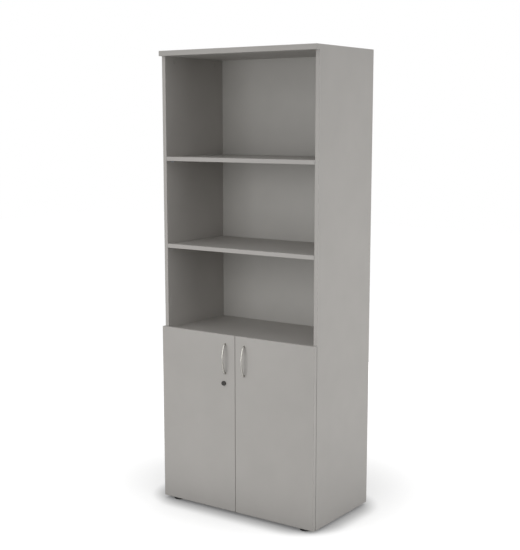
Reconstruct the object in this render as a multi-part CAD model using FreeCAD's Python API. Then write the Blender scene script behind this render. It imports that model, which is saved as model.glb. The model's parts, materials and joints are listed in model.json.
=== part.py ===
"""Tall bookcase: three open compartments above a cabinet with two doors on concealed hinges.

Sizes are in millimetres.  +Z is up, +X is to the right seen from the front, +Y is to the back.
The origin is on the floor, in the middle of the width and of the depth taken with the handles.
"""
import FreeCAD
import Part
import math
import os

from FreeCAD import Vector

# Case
WIDTH = 800.0
HEIGHT = 2000.0
DEPTH = 450.0
BOARD = 18.0
TOP_BOARD = 22.0
DOOR_BOARD = 18.0
BACK_BOARD = 8.0
EDGE_ROUND = 1.0
BACK_RECESS = 11.0
GROOVE_DEPTH = 8.0
GROOVE_SLACK = 0.3
FIXED_SHELF_TOP = 788.0
SHELF_PITCH = 381.0
SHELF_SLACK = 1.0
CABINET_SHELF_SETBACK = 20.0

# Doors
DOOR_GAP = 3.0
MEETING_GAP = 2.0
DOOR_LIFT = 2.0
DOOR_COVER = 12.0
BUFFER_RADIUS = 5.0
BUFFER_IN = 80.0

# Fittings between boards
DOWEL_RADIUS = 4.0
DOWEL_IN_FACE = 12.0
DOWEL_IN_END = 22.0
DOWEL_STEP = 32.0
FITTING_INSET = 60.0
CAM_RADIUS = 7.5
CAM_DEPTH = 12.5
CAM_REACH = 24.0
CAM_SLOT_WIDTH = 1.5
CAM_SLOT_DEPTH = 2.0
CAM_CAP_RADIUS = 8.5
CAM_CAP = 1.0
CAM_CAP_ROUND = 0.5
CAM_KEY_WIDTH = 1.3
CAM_KEY_DEPTH = 1.5
CAM_BOLT_RADIUS = 3.0
CAM_TIP_RADIUS = 2.0
CAM_SCREW_RADIUS = 2.5
CAM_SCREW_DEPTH = 11.0

# Shelf supports
SUPPORT_INSET = 37.0
SUPPORT_PIN_RADIUS = 2.5
SUPPORT_PIN_DEPTH = 9.0
SUPPORT_DROP = 5.0
SUPPORT_REACH = 11.0
SUPPORT_WIDTH = 12.0
SUPPORT_PLATE = 1.8
SUPPORT_RIB = 3.0

# Feet
FOOT_HEIGHT = 12.0
FOOT_RADIUS = 26.0
FOOT_RIM = 7.0
FOOT_EDGE = 1.5
FOOT_NECK_RADIUS = 13.0
FOOT_IN_X = 58.0
FOOT_IN_Y = 16.0
STEM_RADIUS = 4.0
STEM_LENGTH = 14.0
STEM_CLEARANCE = 0.05
SOCKET_RADIUS = 6.0
SOCKET_DEPTH = 15.0

# Handles
HANDLE_REACH = 28.0
HANDLE_SPAN = 128.0
HANDLE_BAR_RADIUS = 4.0
HANDLE_POST = 8.0
HANDLE_FOOT_RADIUS = 5.5
HANDLE_FOOT_HEIGHT = 3.0
HANDLE_IN = 50.0
HANDLE_DROP = 41.0
HANDLE_SCREW_RADIUS = 2.0
HANDLE_SCREW_GRIP = 8.0
HANDLE_SCREW_HEAD_RADIUS = 4.0
HANDLE_SCREW_HEAD = 2.4

# Lock on the left door
LOCK_IN = 58.0
LOCK_DROP = 45.0
LOCK_HEAD_RADIUS = 10.0
LOCK_HEAD = 8.0
LOCK_HEAD_ROUND = 1.5
LOCK_BODY_RADIUS = 8.5
LOCK_TAIL = 6.0
LOCK_NUT_FLATS = 22.0
LOCK_NUT = 4.0
BARREL_RADIUS = 6.0
BARREL_CLEARANCE = 0.05
BARREL_SINK = 0.5
KEY_SLOT_WIDTH = 1.6
KEY_SLOT_HEIGHT = 8.0
KEY_SLOT_DEPTH = 14.0
TONGUE = 2.5
TONGUE_WIDTH = 14.0
TONGUE_LENGTH = 74.0
TONGUE_SQUARE = 7.0
TONGUE_CRANK = 26.0
TONGUE_CRANK_RUN = 6.0
TONGUE_TIP_GAP = 2.0
TONGUE_SCREW_RADIUS = 2.0
TONGUE_SCREW_LENGTH = 8.0
TONGUE_SCREW_HEAD_RADIUS = 4.5
TONGUE_SCREW_HEAD = 2.5

# Slide bolt on the right door
BOLT_IN = 28.0
BOLT_BACK = 12.0
BOLT_RADIUS = 3.0
BOLT_CLEARANCE = 0.1
BOLT_SHELF_GAP = 2.0
BOLT_STROKE = 14.0
BOLT_NOSE = 18.0
BOLT_TAIL = 4.0
BOLT_GUIDE_LENGTH = 60.0
BOLT_GUIDE_RADIUS = 6.0
BOLT_PLATE = 2.0
BOLT_PLATE_WIDTH = 27.0
BOLT_KNOB_RADIUS = 2.5
BOLT_KNOB_REACH = 13.0
BOLT_KNOB_UP = 20.0
BOLT_SLOT_CLEARANCE = 0.5
BOLT_SCREW_RADIUS = 1.75
BOLT_SCREW_LENGTH = 12.0
BOLT_SCREW_HEAD_RADIUS = 3.0
BOLT_SCREW_HEAD = 1.5
BOLT_SCREW_SPREAD = 20.0
BOLT_SCREW_STEP = 40.0
BUSH_RADIUS = 5.0
BUSH_BORE_CLEARANCE = 0.4
BUSH_DEPTH = 14.0
BUSH_FLANGE_RADIUS = 6.5
BUSH_FLANGE = 1.0

# Cup hinges, seen from above: "in" counts from the outer edge of door or side, or from the side's
# inner face, "back" and "depth" count from the door's rear face
HINGE_INSET = 98.0
CUP_IN = 22.5
CUP_RADIUS = 17.5
CUP_DEPTH = 13.0
CUP_WALL = 1.2
CUP_FLOOR = 0.8
CUP_FLANGE = 1.2
CUP_FLANGE_RADIUS = 18.6
CUP_EAR_RADIUS = 6.0
CUP_SCREW_OFFSET = 6.0
CUP_SCREW_SPREAD = 48.0
CUP_SCREW_RADIUS = 1.75
CUP_SCREW_LENGTH = 13.0
CUP_SCREW_HEAD_RADIUS = 3.5
CUP_SCREW_HEAD = 1.6
PIN_RADIUS = 1.2
PIN_CLEARANCE = 0.05
LAYER_GAP = 0.3
LINK_PIN_IN = 24.0
LINK_PIN_BACK = 6.0
LEVER_PIN_IN = 16.0
LEVER_PIN_BACK = 4.0
CUP_LINK_PIN_IN = 12.25
CUP_LINK_PIN_DEPTH = 1.0
CUP_FORK_PIN_IN = 10.0
CUP_FORK_PIN_DEPTH = 7.0
LINK_BEND_IN = 14.0
LINK_BEND_DEPTH = 2.5
LINK_HALF_WIDTH = 2.2
LINK_EYE_RADIUS = 2.7
LINK_THICKNESS = 1.5
LEVER_BEND_IN = 21.0
LEVER_BEND_DEPTH = 9.0
LEVER_HALF_WIDTH = 2.0
LEVER_EYE_RADIUS = 2.8
LEVER_THICKNESS = 7.0
FORK_RADIUS = 3.2
FORK_SLOT_RADIUS = 1.6
FORK_SLOT_END = 0.45
FORK_ANGLE = 20.6
ARM_SHEET = 1.5
ARM_NOSE_RADIUS = 2.6
ARM_LENGTH = 63.0
PLATE_BACK = 37.0
PLATE_BASE = 2.5
PLATE_WING_RADIUS = 7.5
PLATE_SCREW_SPREAD = 32.0
PLATE_SCREW_RADIUS = 2.1
PLATE_SCREW_LENGTH = 14.0
PLATE_SCREW_HEAD_RADIUS = 3.6
PLATE_SCREW_HEAD = 2.0
RAIL_AHEAD = 10.0
RAIL_BEHIND = 23.0
RAIL_CLEARANCE = 0.2
ARM_SCREW_AHEAD = 4.0
ARM_SCREW_BEHIND = 16.0
ARM_SCREW_RADIUS = 2.0
ARM_SCREW_LENGTH = 12.0
ARM_SCREW_HEAD_RADIUS = 3.5
ARM_SCREW_HEAD = 2.0

# Places worked out from the sizes
SIDE_X = WIDTH / 2
INNER_X = SIDE_X - BOARD
BACK_Y = (DEPTH + HANDLE_REACH) / 2
FRONT_Y = BACK_Y - DEPTH
DOOR_BACK_Y = FRONT_Y + DOOR_BOARD
CASE_FRONT_Y = DOOR_BACK_Y + DOOR_GAP
PANEL_BACK_Y = BACK_Y - BACK_RECESS
PANEL_FRONT_Y = PANEL_BACK_Y - BACK_BOARD
TOP_UNDER_Z = HEIGHT - TOP_BOARD
FLOOR_TOP_Z = FOOT_HEIGHT + BOARD
FIXED_SHELF_UNDER = FIXED_SHELF_TOP - BOARD
DOOR_LOW_Z = FOOT_HEIGHT + DOOR_LIFT
DOOR_TOP_Z = FIXED_SHELF_TOP + DOOR_COVER
SHELF_TOPS = {
    "cabinet": FIXED_SHELF_TOP - SHELF_PITCH,
    "middle": FIXED_SHELF_TOP + SHELF_PITCH,
    "upper": FIXED_SHELF_TOP + 2 * SHELF_PITCH,
}
HANDLE_TOP_Z = DOOR_TOP_Z - HANDLE_DROP
HANDLE_LOW_Z = HANDLE_TOP_Z - HANDLE_SPAN
HINGE_HEIGHTS = (DOOR_LOW_Z + HINGE_INSET, DOOR_TOP_Z - HINGE_INSET)
LOCK_AXIS = Vector(-LOCK_IN, FRONT_Y, HANDLE_LOW_Z - LOCK_DROP)
BOLT_TOP_Z = FIXED_SHELF_UNDER - BOLT_SHELF_GAP
BOLT_AXIS_Y = DOOR_BACK_Y + BOLT_BACK
LEVER_LAYER = LEVER_THICKNESS / 2
ARM_LAYER = LEVER_LAYER + LAYER_GAP
LINK_LAYER = ARM_LAYER + ARM_SHEET + LAYER_GAP
PLATE_Y = CASE_FRONT_Y + PLATE_BACK
UP = Vector(0, 0, 1)
BACKWARD = Vector(0, 1, 0)
RIGHT = Vector(1, 0, 0)


def block(low, high):
    """Box between two opposite corners."""
    size = high - low
    return Part.makeBox(size.x, size.y, size.z, low)


def fused(shapes):
    """One solid from overlapping shapes."""
    return shapes[0].multiFuse(shapes[1:]).removeSplitter()


def mirrored(shape):
    """The same piece on the other side of the bookcase."""
    return shape.mirror(Vector(0, 0, 0), RIGHT)


def both_hands(solids):
    """Pieces of the left side and their mirror images."""
    return solids + [mirrored(solid) for solid in solids]


def bar(points, radius, depth):
    """Flat bar with round ends along a bent line, as thick as the vector depth."""
    pieces = [Part.makeCylinder(radius, depth.Length, point, depth) for point in points]
    for start, end in zip(points, points[1:]):
        side = depth.cross(end - start).normalize() * radius
        corners = [start + side, end + side, end - side, start - side]
        pieces.append(Part.Face(Part.makePolygon(corners + corners[:1])).extrude(depth))
    return fused(pieces)


def screw(place, direction, radius, length, head_radius, head):
    """Pan-head screw: the head's seat is at place and the shank points along direction."""
    shank = Part.makeCylinder(radius, length, place, direction)
    return fused([shank, Part.makeCylinder(head_radius, head, place, direction * -1)])


def soften(shape, chosen):
    """Round the straight edges that chosen accepts."""
    edges = [edge for edge in shape.Edges if chosen(edge)]
    return shape.makeFillet(EDGE_ROUND, edges)


def on_plane(axis, value):
    """Test for edges that lie in the plane where one coordinate has the given value."""
    def test(edge):
        return all(abs(getattr(vertex.Point, axis) - value) < 1e-6 for vertex in edge.Vertexes)
    return test


def long_edges_on(axis, value, length):
    """Test for edges in that plane that are at least as long as length."""
    flat = on_plane(axis, value)
    return lambda edge: flat(edge) and edge.Length >= length


def save(name, solids):
    """Write one piece, or a group of like pieces, as a node."""
    shape = solids[0] if len(solids) == 1 else Part.makeCompound(solids)
    shape.exportStep(f"parts/{name}.step")


def cam_mouth(joint, inward, face):
    """Middle of a cam's open end, on one face of the board."""
    return joint + inward * CAM_REACH + face * (BOARD / 2)


def cam_pocket(joint, inward, face):
    """Round pocket for a cam housing, open to one face of the board."""
    return Part.makeCylinder(CAM_RADIUS, CAM_DEPTH, cam_mouth(joint, inward, face), face * -1)


def cam_thread(joint, inward):
    """Threaded end of a cam bolt, in the other board."""
    return Part.makeCylinder(CAM_SCREW_RADIUS, CAM_SCREW_DEPTH, joint, inward * -1)


def cam_shank(joint, inward):
    """Shank of a cam bolt, drawn to the cam's axis."""
    return Part.makeCylinder(CAM_BOLT_RADIUS, CAM_REACH, joint, inward)


def cam_slot(joint, inward, face, width, depth):
    """Driver slot in a cam's open end, or a key of that width and depth to sit in it."""
    mouth = cam_mouth(joint, inward, face)
    reach = inward.cross(face) * (CAM_RADIUS / 2)
    return bar([mouth - reach, mouth + reach], width / 2, face * -depth)


def cam_fitting(joint, inward, face):
    """Cam housing and bolt that draw a board's end to the joint, with the cam open to one face."""
    housing = cam_pocket(joint, inward, face)
    thread = cam_thread(joint, inward)
    shank = cam_shank(joint, inward)
    tip = Part.makeCylinder(CAM_TIP_RADIUS, CAM_REACH, joint, inward)
    bolt = fused([thread, shank.cut(housing), tip])
    slot = cam_slot(joint, inward, face, CAM_SLOT_WIDTH, CAM_SLOT_DEPTH)
    return housing.cut(bolt).cut(slot), bolt


def cam_cap(joint, inward, face):
    """Round cover cap over a cam, held by a key in the cam's slot."""
    disc = Part.makeCylinder(CAM_CAP_RADIUS, CAM_CAP, cam_mouth(joint, inward, face), face)
    rim = max(disc.Edges, key=lambda edge: edge.CenterOfMass.dot(face))
    disc = disc.makeFillet(CAM_CAP_ROUND, [rim])
    return fused([disc, cam_slot(joint, inward, face, CAM_KEY_WIDTH, CAM_KEY_DEPTH)])


def dowel(joint, inward):
    """Round dowel across a joint."""
    length = DOWEL_IN_FACE + DOWEL_IN_END
    return Part.makeCylinder(DOWEL_RADIUS, length, joint - inward * DOWEL_IN_FACE, inward)


def board_fittings():
    """Dowels, cam housings, cam bolts, cover caps and cam bores at both ends of the fixed boards.

    The cams under the bottom panel face the floor and have no caps.
    """
    dowels = []
    housings = []
    bolts = []
    caps = []
    bores = []
    joints = [
        (Vector(-INNER_X, 0, FOOT_HEIGHT + BOARD / 2), RIGHT, UP * -1, False),
        (Vector(-INNER_X, 0, FIXED_SHELF_TOP - BOARD / 2), RIGHT, UP * -1, True),
        (Vector(-SIDE_X + BOARD / 2, 0, TOP_UNDER_Z), UP * -1, RIGHT, True),
    ]
    for middle, inward, face, capped in joints:
        for edge, step in ((CASE_FRONT_Y, 1), (PANEL_FRONT_Y, -1)):
            joint = middle + BACKWARD * (edge + step * FITTING_INSET)
            housing, bolt = cam_fitting(joint, inward, face)
            pin = dowel(joint + BACKWARD * (step * DOWEL_STEP), inward)
            dowels += both_hands([pin])
            housings += both_hands([housing])
            bolts += both_hands([bolt])
            if capped:
                caps += both_hands([cam_cap(joint, inward, face)])
            end_bore = fused([cam_pocket(joint, inward, face), cam_shank(joint, inward)])
            bores += both_hands([end_bore, cam_thread(joint, inward)])
    return dowels, housings, bolts, caps, bores


def shelf_supports(shelf_top):
    """Four plug-in supports with a flat rest under a loose shelf."""
    under = shelf_top - BOARD
    supports = []
    for y in (CASE_FRONT_Y + SUPPORT_INSET, PANEL_FRONT_Y - SUPPORT_INSET):
        pin = Part.makeCylinder(SUPPORT_PIN_RADIUS, SUPPORT_PIN_DEPTH + SUPPORT_REACH,
                                Vector(-INNER_X - SUPPORT_PIN_DEPTH, y, under - SUPPORT_DROP), RIGHT)
        rest = block(Vector(-INNER_X, y - SUPPORT_WIDTH / 2, under - SUPPORT_PLATE),
                     Vector(-INNER_X + SUPPORT_REACH, y + SUPPORT_WIDTH / 2, under))
        rib = block(Vector(-INNER_X, y - SUPPORT_RIB / 2, under - SUPPORT_DROP),
                    Vector(-INNER_X + SUPPORT_REACH, y + SUPPORT_RIB / 2, under))
        supports += both_hands([fused([pin, rest, rib])])
    return supports


def foot_places():
    """Centres of the four feet on the floor, by name."""
    return {
        f"{row}_{hand}_foot": Vector(side * (SIDE_X - FOOT_IN_X), y, 0)
        for hand, side in (("left", -1), ("right", 1))
        for row, y in (("front", CASE_FRONT_Y + FOOT_IN_Y), ("rear", PANEL_FRONT_Y - FOOT_IN_Y))
    }


def foot(place):
    """Turned foot: a wide pad with a rounded rim, a tapered neck and a screw stem."""
    def point(radius, height):
        return place + Vector(radius, 0, height)
    bevel = FOOT_EDGE * (1 - math.sqrt(0.5))
    top = FOOT_HEIGHT + STEM_LENGTH
    rim_low = point(FOOT_RADIUS - FOOT_EDGE, 0)
    rim_high = point(FOOT_RADIUS, FOOT_EDGE)
    rim = Part.Arc(rim_low, point(FOOT_RADIUS - bevel, bevel), rim_high)
    outline = [rim_high, point(FOOT_RADIUS, FOOT_RIM), point(FOOT_NECK_RADIUS, FOOT_HEIGHT),
               point(STEM_RADIUS, FOOT_HEIGHT), point(STEM_RADIUS, top), point(0, top), point(0, 0), rim_low]
    wire = Part.Wire([rim.toShape()] + Part.makePolygon(outline).Edges)
    return Part.Face(wire).revolve(place, UP, 360)


def socket_blank(place, radius):
    """Upright cylinder at a foot's place, as deep as the sockets in the bottom panel."""
    return Part.makeCylinder(radius, SOCKET_DEPTH, place + UP * FOOT_HEIGHT)


def foot_socket(place):
    """Threaded socket in the bottom panel, which guides a foot's stem."""
    return socket_blank(place, SOCKET_RADIUS).cut(socket_blank(place, STEM_RADIUS + STEM_CLEARANCE))


def side_panel(seated):
    """Left side with its groove for the back panel and the bores of what sits in it."""
    panel = block(Vector(-SIDE_X, CASE_FRONT_Y, FOOT_HEIGHT), Vector(-INNER_X, BACK_Y, TOP_UNDER_Z))
    panel = soften(panel, long_edges_on("y", CASE_FRONT_Y, 2 * BOARD))
    groove = block(Vector(-INNER_X - GROOVE_DEPTH, PANEL_FRONT_Y, FOOT_HEIGHT),
                   Vector(-INNER_X, PANEL_BACK_Y + GROOVE_SLACK, TOP_UNDER_Z))
    return panel.cut([groove] + seated)


def top_panel(seated):
    """Thick top over both sides, with the back panel's groove in its underside."""
    panel = block(Vector(-SIDE_X, FRONT_Y, TOP_UNDER_Z), Vector(SIDE_X, BACK_Y, HEIGHT))
    upper = on_plane("z", HEIGHT)
    front = on_plane("y", FRONT_Y)
    panel = soften(panel, lambda edge: upper(edge) or front(edge))
    reach = INNER_X + GROOVE_DEPTH
    groove = block(Vector(-reach, PANEL_FRONT_Y, TOP_UNDER_Z),
                   Vector(reach, PANEL_BACK_Y + GROOVE_SLACK, TOP_UNDER_Z + GROOVE_DEPTH))
    return panel.cut([groove] + seated)


def back_panel():
    """Thin back that slides up into the grooves from below."""
    reach = INNER_X + GROOVE_DEPTH - GROOVE_SLACK
    return block(Vector(-reach, PANEL_FRONT_Y, FOOT_HEIGHT),
                 Vector(reach, PANEL_BACK_Y, TOP_UNDER_Z + GROOVE_DEPTH - GROOVE_SLACK))


def fixed_board(top, seated):
    """Board between the sides, with its end bores."""
    board = block(Vector(-INNER_X, CASE_FRONT_Y, top - BOARD), Vector(INNER_X, PANEL_FRONT_Y, top))
    board = soften(board, long_edges_on("y", CASE_FRONT_Y, 2 * BOARD))
    return board.cut(seated)


def loose_shelf(top, setback):
    """Shelf that lies on its supports."""
    reach = INNER_X - SHELF_SLACK
    front = CASE_FRONT_Y + setback
    shelf = block(Vector(-reach, front, top - BOARD), Vector(reach, PANEL_FRONT_Y - SHELF_SLACK, top))
    return soften(shelf, long_edges_on("y", front, 2 * BOARD))


def door_board(seated):
    """Left door leaf, cut for what sits in it."""
    leaf = block(Vector(-SIDE_X, FRONT_Y, DOOR_LOW_Z), Vector(-MEETING_GAP / 2, DOOR_BACK_Y, DOOR_TOP_Z))
    return soften(leaf, on_plane("y", FRONT_Y)).cut(seated)


def door_buffers():
    """Soft stops on the left door's back, against the fixed shelf and the bottom panel."""
    heights = (FOOT_HEIGHT + BOARD / 2, FIXED_SHELF_TOP - BOARD / 2)
    return [Part.makeCylinder(BUFFER_RADIUS, DOOR_GAP, Vector(-BUFFER_IN, DOOR_BACK_Y, z), BACKWARD)
            for z in heights]


def handle_screws(x):
    """Two screws from a door's back into the handle's posts."""
    length = DOOR_BOARD + HANDLE_SCREW_GRIP
    return [screw(Vector(x, DOOR_BACK_Y, z), BACKWARD * -1, HANDLE_SCREW_RADIUS, length,
                  HANDLE_SCREW_HEAD_RADIUS, HANDLE_SCREW_HEAD) for z in (HANDLE_LOW_Z, HANDLE_TOP_Z)]


def handle(x):
    """Bow handle: a round bar bent to an arc between two posts with flared feet."""
    half = HANDLE_SPAN / 2
    crown = HANDLE_REACH - HANDLE_BAR_RADIUS
    rise = crown - HANDLE_POST
    arc_radius = (half ** 2 + rise ** 2) / (2 * rise)
    spread = math.degrees(math.asin(half / arc_radius))
    middle = Vector(x, FRONT_Y - crown, (HANDLE_LOW_Z + HANDLE_TOP_Z) / 2)
    centre = middle + BACKWARD * arc_radius
    section = Part.Face(Part.Wire(Part.makeCircle(HANDLE_BAR_RADIUS, middle, UP)))
    section.rotate(centre, RIGHT, -spread)
    pieces = [section.revolve(centre, RIGHT, 2 * spread)]
    for z in (HANDLE_LOW_Z, HANDLE_TOP_Z):
        base = Vector(x, FRONT_Y, z)
        out = BACKWARD * -1
        pieces.append(Part.makeCylinder(HANDLE_BAR_RADIUS, HANDLE_POST, base, out))
        pieces.append(Part.makeSphere(HANDLE_BAR_RADIUS, base + out * HANDLE_POST))
        pieces.append(Part.makeCone(HANDLE_FOOT_RADIUS, HANDLE_BAR_RADIUS, HANDLE_FOOT_HEIGHT, base, out))
    return fused(pieces).cut(handle_screws(x))


def lock_body():
    """Lock sleeve: a round head in front of the door and a body through it, bored for the barrel."""
    head = Part.makeCylinder(LOCK_HEAD_RADIUS, LOCK_HEAD, LOCK_AXIS, BACKWARD * -1)
    rim = [edge for edge in head.Edges if on_plane("y", FRONT_Y - LOCK_HEAD)(edge)]
    head = head.makeFillet(LOCK_HEAD_ROUND, rim)
    length = DOOR_BOARD + LOCK_TAIL
    sleeve = Part.makeCylinder(LOCK_BODY_RADIUS, length, LOCK_AXIS, BACKWARD)
    bore = Part.makeCylinder(BARREL_RADIUS, LOCK_HEAD + length, LOCK_AXIS - BACKWARD * LOCK_HEAD, BACKWARD)
    return fused([head, sleeve]).cut(bore)


def lock_nut():
    """Hexagon nut that clamps the lock to the door's back."""
    corner = LOCK_NUT_FLATS / math.sqrt(3)
    centre = LOCK_AXIS + BACKWARD * DOOR_BOARD
    turns = [math.radians(60 * step) for step in range(7)]
    points = [centre + Vector(corner * math.cos(turn), 0, corner * math.sin(turn)) for turn in turns]
    nut = Part.Face(Part.makePolygon(points)).extrude(BACKWARD * LOCK_NUT)
    return nut.cut(Part.makeCylinder(LOCK_BODY_RADIUS, LOCK_NUT, centre, BACKWARD))


def lock_square():
    """Square tail of the barrel, which carries the tongue."""
    start = LOCK_AXIS + BACKWARD * (DOOR_BOARD + LOCK_TAIL)
    half = TONGUE_SQUARE / 2
    return block(start + Vector(-half, 0, -half), start + Vector(half, TONGUE, half))


def tongue_screw():
    """Screw that holds the tongue on the barrel."""
    place = LOCK_AXIS + BACKWARD * (DOOR_BOARD + LOCK_TAIL + TONGUE)
    return screw(place, BACKWARD * -1, TONGUE_SCREW_RADIUS, TONGUE_SCREW_LENGTH,
                 TONGUE_SCREW_HEAD_RADIUS, TONGUE_SCREW_HEAD)


def lock_barrel():
    """Turning barrel with a key slot in front and a square tail behind."""
    length = LOCK_HEAD - BARREL_SINK + DOOR_BOARD + LOCK_TAIL
    front = LOCK_AXIS - BACKWARD * (LOCK_HEAD - BARREL_SINK)
    plug = Part.makeCylinder(BARREL_RADIUS - BARREL_CLEARANCE, length, front, BACKWARD)
    half = Vector(KEY_SLOT_WIDTH / 2, 0, KEY_SLOT_HEIGHT / 2)
    slot = block(front - half, front + half + BACKWARD * KEY_SLOT_DEPTH)
    return fused([plug, lock_square()]).cut([slot, tongue_screw()])


def lock_tongue():
    """Flat tongue, hanging down at rest, cranked so that its tip swings close behind the other door."""
    root = LOCK_AXIS.y + DOOR_BOARD + LOCK_TAIL
    tip = DOOR_BACK_Y + TONGUE_TIP_GAP
    crank = LOCK_AXIS.z - TONGUE_CRANK
    crank_end = crank - TONGUE_CRANK_RUN
    end = LOCK_AXIS.z - TONGUE_LENGTH
    top = LOCK_AXIS.z + TONGUE_WIDTH / 2
    left = LOCK_AXIS.x - TONGUE_WIDTH / 2
    profile = [(root, top), (root, crank), (tip, crank_end), (tip, end),
               (tip + TONGUE, end), (tip + TONGUE, crank_end), (root + TONGUE, crank), (root + TONGUE, top)]
    points = [Vector(left, y, z) for y, z in profile]
    strip = Part.Face(Part.makePolygon(points + points[:1])).extrude(RIGHT * TONGUE_WIDTH)
    far = Vector(LOCK_AXIS.x, tip, end + TONGUE_WIDTH / 2)
    near = Vector(LOCK_AXIS.x, tip, LOCK_AXIS.z)
    outline = bar([near, far], TONGUE_WIDTH / 2, BACKWARD * (root + TONGUE - tip))
    return strip.common(outline).cut([lock_square(), tongue_screw()])


def bolt_low():
    """Lowest level of the slide bolt's guide."""
    return BOLT_TOP_Z - BOLT_NOSE - BOLT_GUIDE_LENGTH


def bolt_screws():
    """Four screws that hold the bolt's guide to the right door."""
    middle = bolt_low() + BOLT_GUIDE_LENGTH / 2
    return [screw(Vector(BOLT_IN + x, DOOR_BACK_Y + BOLT_PLATE, middle + z), BACKWARD * -1, BOLT_SCREW_RADIUS,
                  BOLT_SCREW_LENGTH, BOLT_SCREW_HEAD_RADIUS, BOLT_SCREW_HEAD)
            for x in (-BOLT_SCREW_SPREAD / 2, BOLT_SCREW_SPREAD / 2)
            for z in (-BOLT_SCREW_STEP / 2, BOLT_SCREW_STEP / 2)]


def bolt_guide():
    """Guide on the right door's back: a plate with an arched housing, slotted for the bolt's knob."""
    low = bolt_low()
    half = BOLT_PLATE_WIDTH / 2
    axis = Vector(BOLT_IN, BOLT_AXIS_Y, low)
    seat = Vector(BOLT_IN, DOOR_BACK_Y, low)
    plate = block(seat - RIGHT * half, seat + Vector(half, BOLT_PLATE, BOLT_GUIDE_LENGTH))
    housing = bar([seat + BACKWARD * BOLT_GUIDE_RADIUS, axis], BOLT_GUIDE_RADIUS, UP * BOLT_GUIDE_LENGTH)
    bore = Part.makeCylinder(BOLT_RADIUS + BOLT_CLEARANCE, BOLT_GUIDE_LENGTH, axis)
    knob = axis + UP * BOLT_KNOB_UP
    slot_radius = BOLT_KNOB_RADIUS + BOLT_SLOT_CLEARANCE
    slot = bar([knob, knob + UP * BOLT_STROKE], slot_radius, BACKWARD * BOLT_KNOB_REACH)
    return fused([plate, housing]).cut([bore, slot] + bolt_screws())


def slide_bolt():
    """Round bolt with a domed nose and a finger knob."""
    guide = Vector(BOLT_IN, BOLT_AXIS_Y, bolt_low())
    nose = Vector(BOLT_IN, BOLT_AXIS_Y, BOLT_TOP_Z - BOLT_RADIUS)
    tail = guide - UP * BOLT_TAIL
    rod = Part.makeCylinder(BOLT_RADIUS, nose.z - tail.z, tail)
    dome = Part.makeSphere(BOLT_RADIUS, nose)
    knob = Part.makeCylinder(BOLT_KNOB_RADIUS, BOLT_KNOB_REACH, guide + UP * BOLT_KNOB_UP, BACKWARD)
    return fused([rod, dome, knob])


def bush_sleeve():
    """Part of the bush that sits in the fixed shelf."""
    return Part.makeCylinder(BUSH_RADIUS, BUSH_DEPTH, Vector(BOLT_IN, BOLT_AXIS_Y, FIXED_SHELF_UNDER))


def bolt_bush():
    """Flanged bush in the fixed shelf's underside, which takes the bolt."""
    mouth = Vector(BOLT_IN, BOLT_AXIS_Y, FIXED_SHELF_UNDER - BUSH_FLANGE)
    flange = Part.makeCylinder(BUSH_FLANGE_RADIUS, BUSH_FLANGE, mouth)
    bore = Part.makeCylinder(BOLT_RADIUS + BUSH_BORE_CLEARANCE, BUSH_DEPTH + BUSH_FLANGE, mouth)
    return fused([bush_sleeve(), flange]).cut(bore)


def hinge_point(inward, behind):
    """Point of a left hinge's middle plane: from the door's outer edge and from its rear face."""
    return Vector(-SIDE_X + inward, DOOR_BACK_Y + behind, 0)


LINK_PIN = hinge_point(BOARD + LINK_PIN_IN, LINK_PIN_BACK)
LEVER_PIN = hinge_point(BOARD + LEVER_PIN_IN, LEVER_PIN_BACK)
CUP_LINK_PIN = hinge_point(CUP_LINK_PIN_IN, -CUP_LINK_PIN_DEPTH)
CUP_FORK_PIN = hinge_point(CUP_FORK_PIN_IN, -CUP_FORK_PIN_DEPTH)
ARM_WEB_X = LINK_PIN.x + ARM_NOSE_RADIUS - ARM_SHEET


def pin(place, start, end):
    """Upright round pin between two levels of a hinge."""
    return Part.makeCylinder(PIN_RADIUS, end - start, place + UP * start)


def both_layers(shape):
    """A hinge piece and its copy below the hinge's middle plane."""
    return [shape, shape.mirror(Vector(0, 0, 0), UP)]


def cup_reach(pin_in):
    """How far a pin can run up and down from the hinge's middle plane and stay inside the cup's outside."""
    return math.sqrt(CUP_RADIUS ** 2 - (CUP_IN - pin_in + PIN_RADIUS) ** 2)


def hinge_cup_pins():
    """Fork pin across the cup, and two short pins for the outer links."""
    fork_reach = cup_reach(CUP_FORK_PIN_IN)
    short = pin(CUP_LINK_PIN, LINK_LAYER - LAYER_GAP / 2, cup_reach(CUP_LINK_PIN_IN))
    return [pin(CUP_FORK_PIN, -fork_reach, fork_reach)] + both_layers(short)


def cup_screw_places():
    """Seats of the two screws in the cup's flange."""
    middle = hinge_point(CUP_IN + CUP_SCREW_OFFSET, CUP_FLANGE)
    return [middle + UP * side for side in (-CUP_SCREW_SPREAD / 2, CUP_SCREW_SPREAD / 2)]


def hinge_cup_screws():
    """Screws that hold the cup's flange to the door."""
    return [screw(place, BACKWARD * -1, CUP_SCREW_RADIUS, CUP_SCREW_LENGTH,
                  CUP_SCREW_HEAD_RADIUS, CUP_SCREW_HEAD) for place in cup_screw_places()]


def cup_pot():
    """Part of the cup that is sunk in the door, as a full cylinder."""
    return bar([hinge_point(CUP_IN, -CUP_DEPTH)], CUP_RADIUS, BACKWARD * CUP_DEPTH)


def hinge_cup():
    """Drawn cup sunk in the door, with a flange and two screw ears."""
    sheet = BACKWARD * CUP_FLANGE
    flange = bar([hinge_point(CUP_IN, 0)], CUP_FLANGE_RADIUS, sheet)
    ears = bar([place - sheet for place in cup_screw_places()], CUP_EAR_RADIUS, sheet)
    inside = hinge_point(CUP_IN, CUP_FLOOR - CUP_DEPTH)
    hollow = bar([inside], CUP_RADIUS - CUP_WALL, BACKWARD * CUP_DEPTH + sheet)
    return fused([cup_pot(), flange, ears]).cut([hollow] + hinge_cup_pins() + hinge_cup_screws())


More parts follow.
